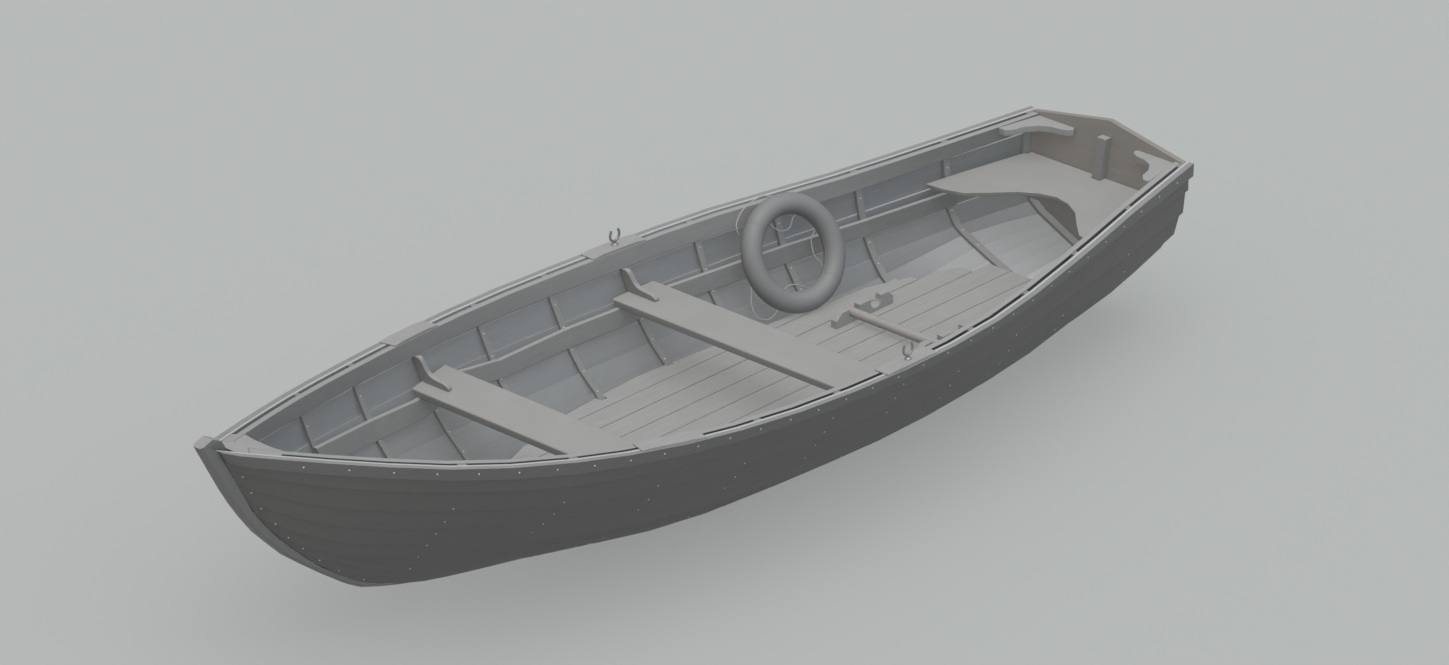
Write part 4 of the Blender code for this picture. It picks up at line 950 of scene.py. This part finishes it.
    def whippings(self, paint: bpy.types.Material) -> None:
        """Twine round the rope at the four places where it is sewn to the cover."""
        loop = self.route_points(26)
        clearance = [math.hypot(math.hypot(p.x, p.y) - self.radius, p.z) - self.tube for p in loop]
        bm = bmesh.new()
        count = len(loop)
        places = [i for i in range(count) if clearance[i] == min(clearance[(i + d) % count] for d in range(-40, 41))]
        for place in places:
            piece = [loop[(place + d) % count] for d in range(-4, 5)]
            for turn in range(len(piece) - 1):
                middle = (piece[turn] + piece[turn + 1]) / 2
                along = (piece[turn + 1] - piece[turn]).normalized()
                side = along.cross(Vector((0.0, 0.0, 1.0))).normalized()
                up = along.cross(side)
                ring = [middle + (side * math.cos(math.tau * k / 14) + up * math.sin(math.tau * k / 14)) * 3.3 * MM for k in range(14)]
                self.bead(bm, ring, 0.9 * MM, 5)
        bmesh.ops.transform(bm, matrix=self.pose(), verts=bm.verts)
        keep("rope_whippings", bm, paint, body_of("grab_rope"))

    def build(self, paints: dict[str, bpy.types.Material]) -> None:
        """Models the ring, its seams and its rope."""
        self.ring(paints[COVER_PAINT.name])
        self.seams(paints[COVER_PAINT.name])
        self.rope(paints[LINE_FIBRE.name])
        self.whippings(paints[WHIPPING.name])


def near(angle: float, about: float) -> float:
    """The angle moved by whole turns until it is within half a turn of another."""
    return angle + math.tau * round((about - angle) / math.tau)


def sweep(bm: bmesh.types.BMesh, loop: Sequence[Vector], section: Callable[[float, Vector, Vector], list[Vector]]) -> None:
    """Sweeps a changing section along a closed loop and closes it on itself.

    Args:
        bm: Where the surface goes.
        loop: Points of the closed loop.
        section: Offsets round the loop's point, given the share of the way round, a side and an up direction.
    """
    count = len(loop)
    side = (loop[1] - loop[-1]).orthogonal().normalized()
    sides = []
    for i, point in enumerate(loop):
        along = (loop[(i + 1) % count] - loop[i - 1]).normalized()
        side = (side - along * side.dot(along)).normalized()
        sides.append((side.copy(), along))
    first, start_along = sides[0]
    carried = (side - start_along * side.dot(start_along)).normalized()
    slip = math.atan2(start_along.dot(carried.cross(first)), carried.dot(first))
    rings = []
    for i, (side, along) in enumerate(sides):
        eased = Matrix.Rotation(slip * i / count, 3, along) @ side
        rings.append([bm.verts.new(loop[i] + offset) for offset in section(i / count, eased, along.cross(eased))])
    edges = [[bm.edges.new((ring[k], ring[(k + 1) % len(ring)])) for k in range(len(ring))] for ring in rings]
    for i in range(count):
        bmesh.ops.bridge_loops(bm, edges=edges[i] + edges[(i + 1) % count])
    bmesh.ops.recalc_face_normals(bm, faces=bm.faces)
    for face in bm.faces:
        face.smooth = True



@dataclass
class Studio:
    """Plain pale floor, soft overhead light, weak warm and cool fills, and the camera of the photograph."""

    camera_place: tuple[float, float, float] = (-18.349, -17.186, 12.418)
    heading: float = 42.74
    pitch: float = 25.30
    focal_pixels: float = 6755.0
    sensor: float = 36.0
    floor_colour: Colour = (0.432, 0.446, 0.439)
    floor_half: float = 150.0
    sky: float = 0.33
    wash: float = 2.06
    key: float = 0.38

    def camera(self) -> None:
        """The camera, with the lens that the photograph's perspective gives."""
        data = bpy.data.cameras.new("photo_camera")
        data.sensor_width = self.sensor
        data.lens = self.focal_pixels / IMAGE_WIDTH * self.sensor
        data.clip_start, data.clip_end = 0.5, 400.0
        camera = bpy.data.objects.new("photo_camera", data)
        bpy.context.scene.collection.objects.link(camera)
        turn, dip = math.radians(self.heading), math.radians(self.pitch)
        ahead = Vector((math.cos(dip) * math.cos(turn), math.cos(dip) * math.sin(turn), -math.sin(dip)))
        camera.location = self.camera_place
        camera.rotation_mode = "QUATERNION"
        camera.rotation_quaternion = ahead.to_track_quat("-Z", "Y")
        bpy.context.scene.camera = camera

    def floor(self) -> None:
        """The floor, just under the keel."""
        bm = bmesh.new()
        bmesh.ops.create_grid(bm, x_segments=1, y_segments=1, size=self.floor_half)
        bmesh.ops.translate(bm, vec=(0.0, 0.0, CAD_BOX[0].z - FLOOR_DROP), verts=bm.verts)
        mesh = bpy.data.meshes.new("studio_floor")
        bm.to_mesh(mesh)
        bm.free()
        material, _, shader = start_material("studio_floor")
        shader.inputs["Base Color"].default_value = opaque(self.floor_colour)
        shader.inputs["Roughness"].default_value = 0.9
        shader.inputs["Specular IOR Level"].default_value = 0.1
        mesh.materials.append(material)
        floor = bpy.data.objects.new("studio_floor", mesh)
        bpy.context.scene.collection.objects.link(floor)

    def sun(self, name: str, strength: float, spread: float, colour: Colour, toward: Colour, shadows: bool) -> None:
        """A broad distant light.

        Args:
            name: Its name.
            strength: Its strength.
            spread: The angle that it fills, in degrees.
            colour: Its colour.
            toward: The way that it shines.
            shadows: False for light as even as a cloudy sky gives inside an open boat.
        """
        data = bpy.data.lights.new(name, "SUN")
        data.energy, data.angle, data.color = strength, math.radians(spread), colour
        data.use_shadow = shadows
        light = bpy.data.objects.new(name, data)
        bpy.context.scene.collection.objects.link(light)
        light.rotation_mode = "QUATERNION"
        light.rotation_quaternion = Vector(toward).to_track_quat("-Z", "Y")

    def build(self) -> None:
        """Sets up the whole studio."""
        scene = bpy.context.scene
        scene.view_settings.view_transform = "Standard"
        world = bpy.data.worlds.new("studio")
        world.use_nodes = True
        backdrop = world.node_tree.nodes["Background"]
        backdrop.inputs[0].default_value = (0.97, 1.0, 1.0, 1.0)
        backdrop.inputs[1].default_value = self.sky
        scene.world = world
        self.floor()
        self.sun("even_wash", self.wash, 50.0, (1.0, 1.0, 1.0), (0.22, 0.27, -0.94), False)
        self.sun("soft_key", self.key, 60.0, (1.0, 1.0, 1.0), (0.20, 0.20, -0.95), True)
        self.sun("warm_fill", 0.18, 60.0, (1.0, 0.80, 0.62), (1.0, 0.15, -0.35), True)
        self.sun("cool_fill", 0.30, 60.0, (0.68, 0.84, 1.0), (-0.25, 1.0, -0.35), False)
        self.camera()


def main() -> None:
    """Builds the studio, the finishes and every piece in order."""
    logging.basicConfig(level=logging.INFO, format="%(name)s %(message)s")
    Studio().build()
    shop = PaintShop()
    finishes = (
        HULL_PAINT, TRANSOM_PAINT, STEM_PAINT, RAIL_PAINT, INWALE_PAINT, KNEE_PAINT, TIMBER_PAINT, SEAT_PAINT,
        FLOOR_PAINT, BAR_PAINT, ZINC, NAIL_METAL, COVER_PAINT, LINE_FIBRE, WHIPPING,
    )
    paints = {finish.name: finish.material(shop) for finish in finishes}
    for member in joinery_list():
        member.build(paints)
    Fastenings().build(paints)
    Rowlocks().build(paints)
    RingBuoy().build(paints)


if __name__ == "__main__":
    main()
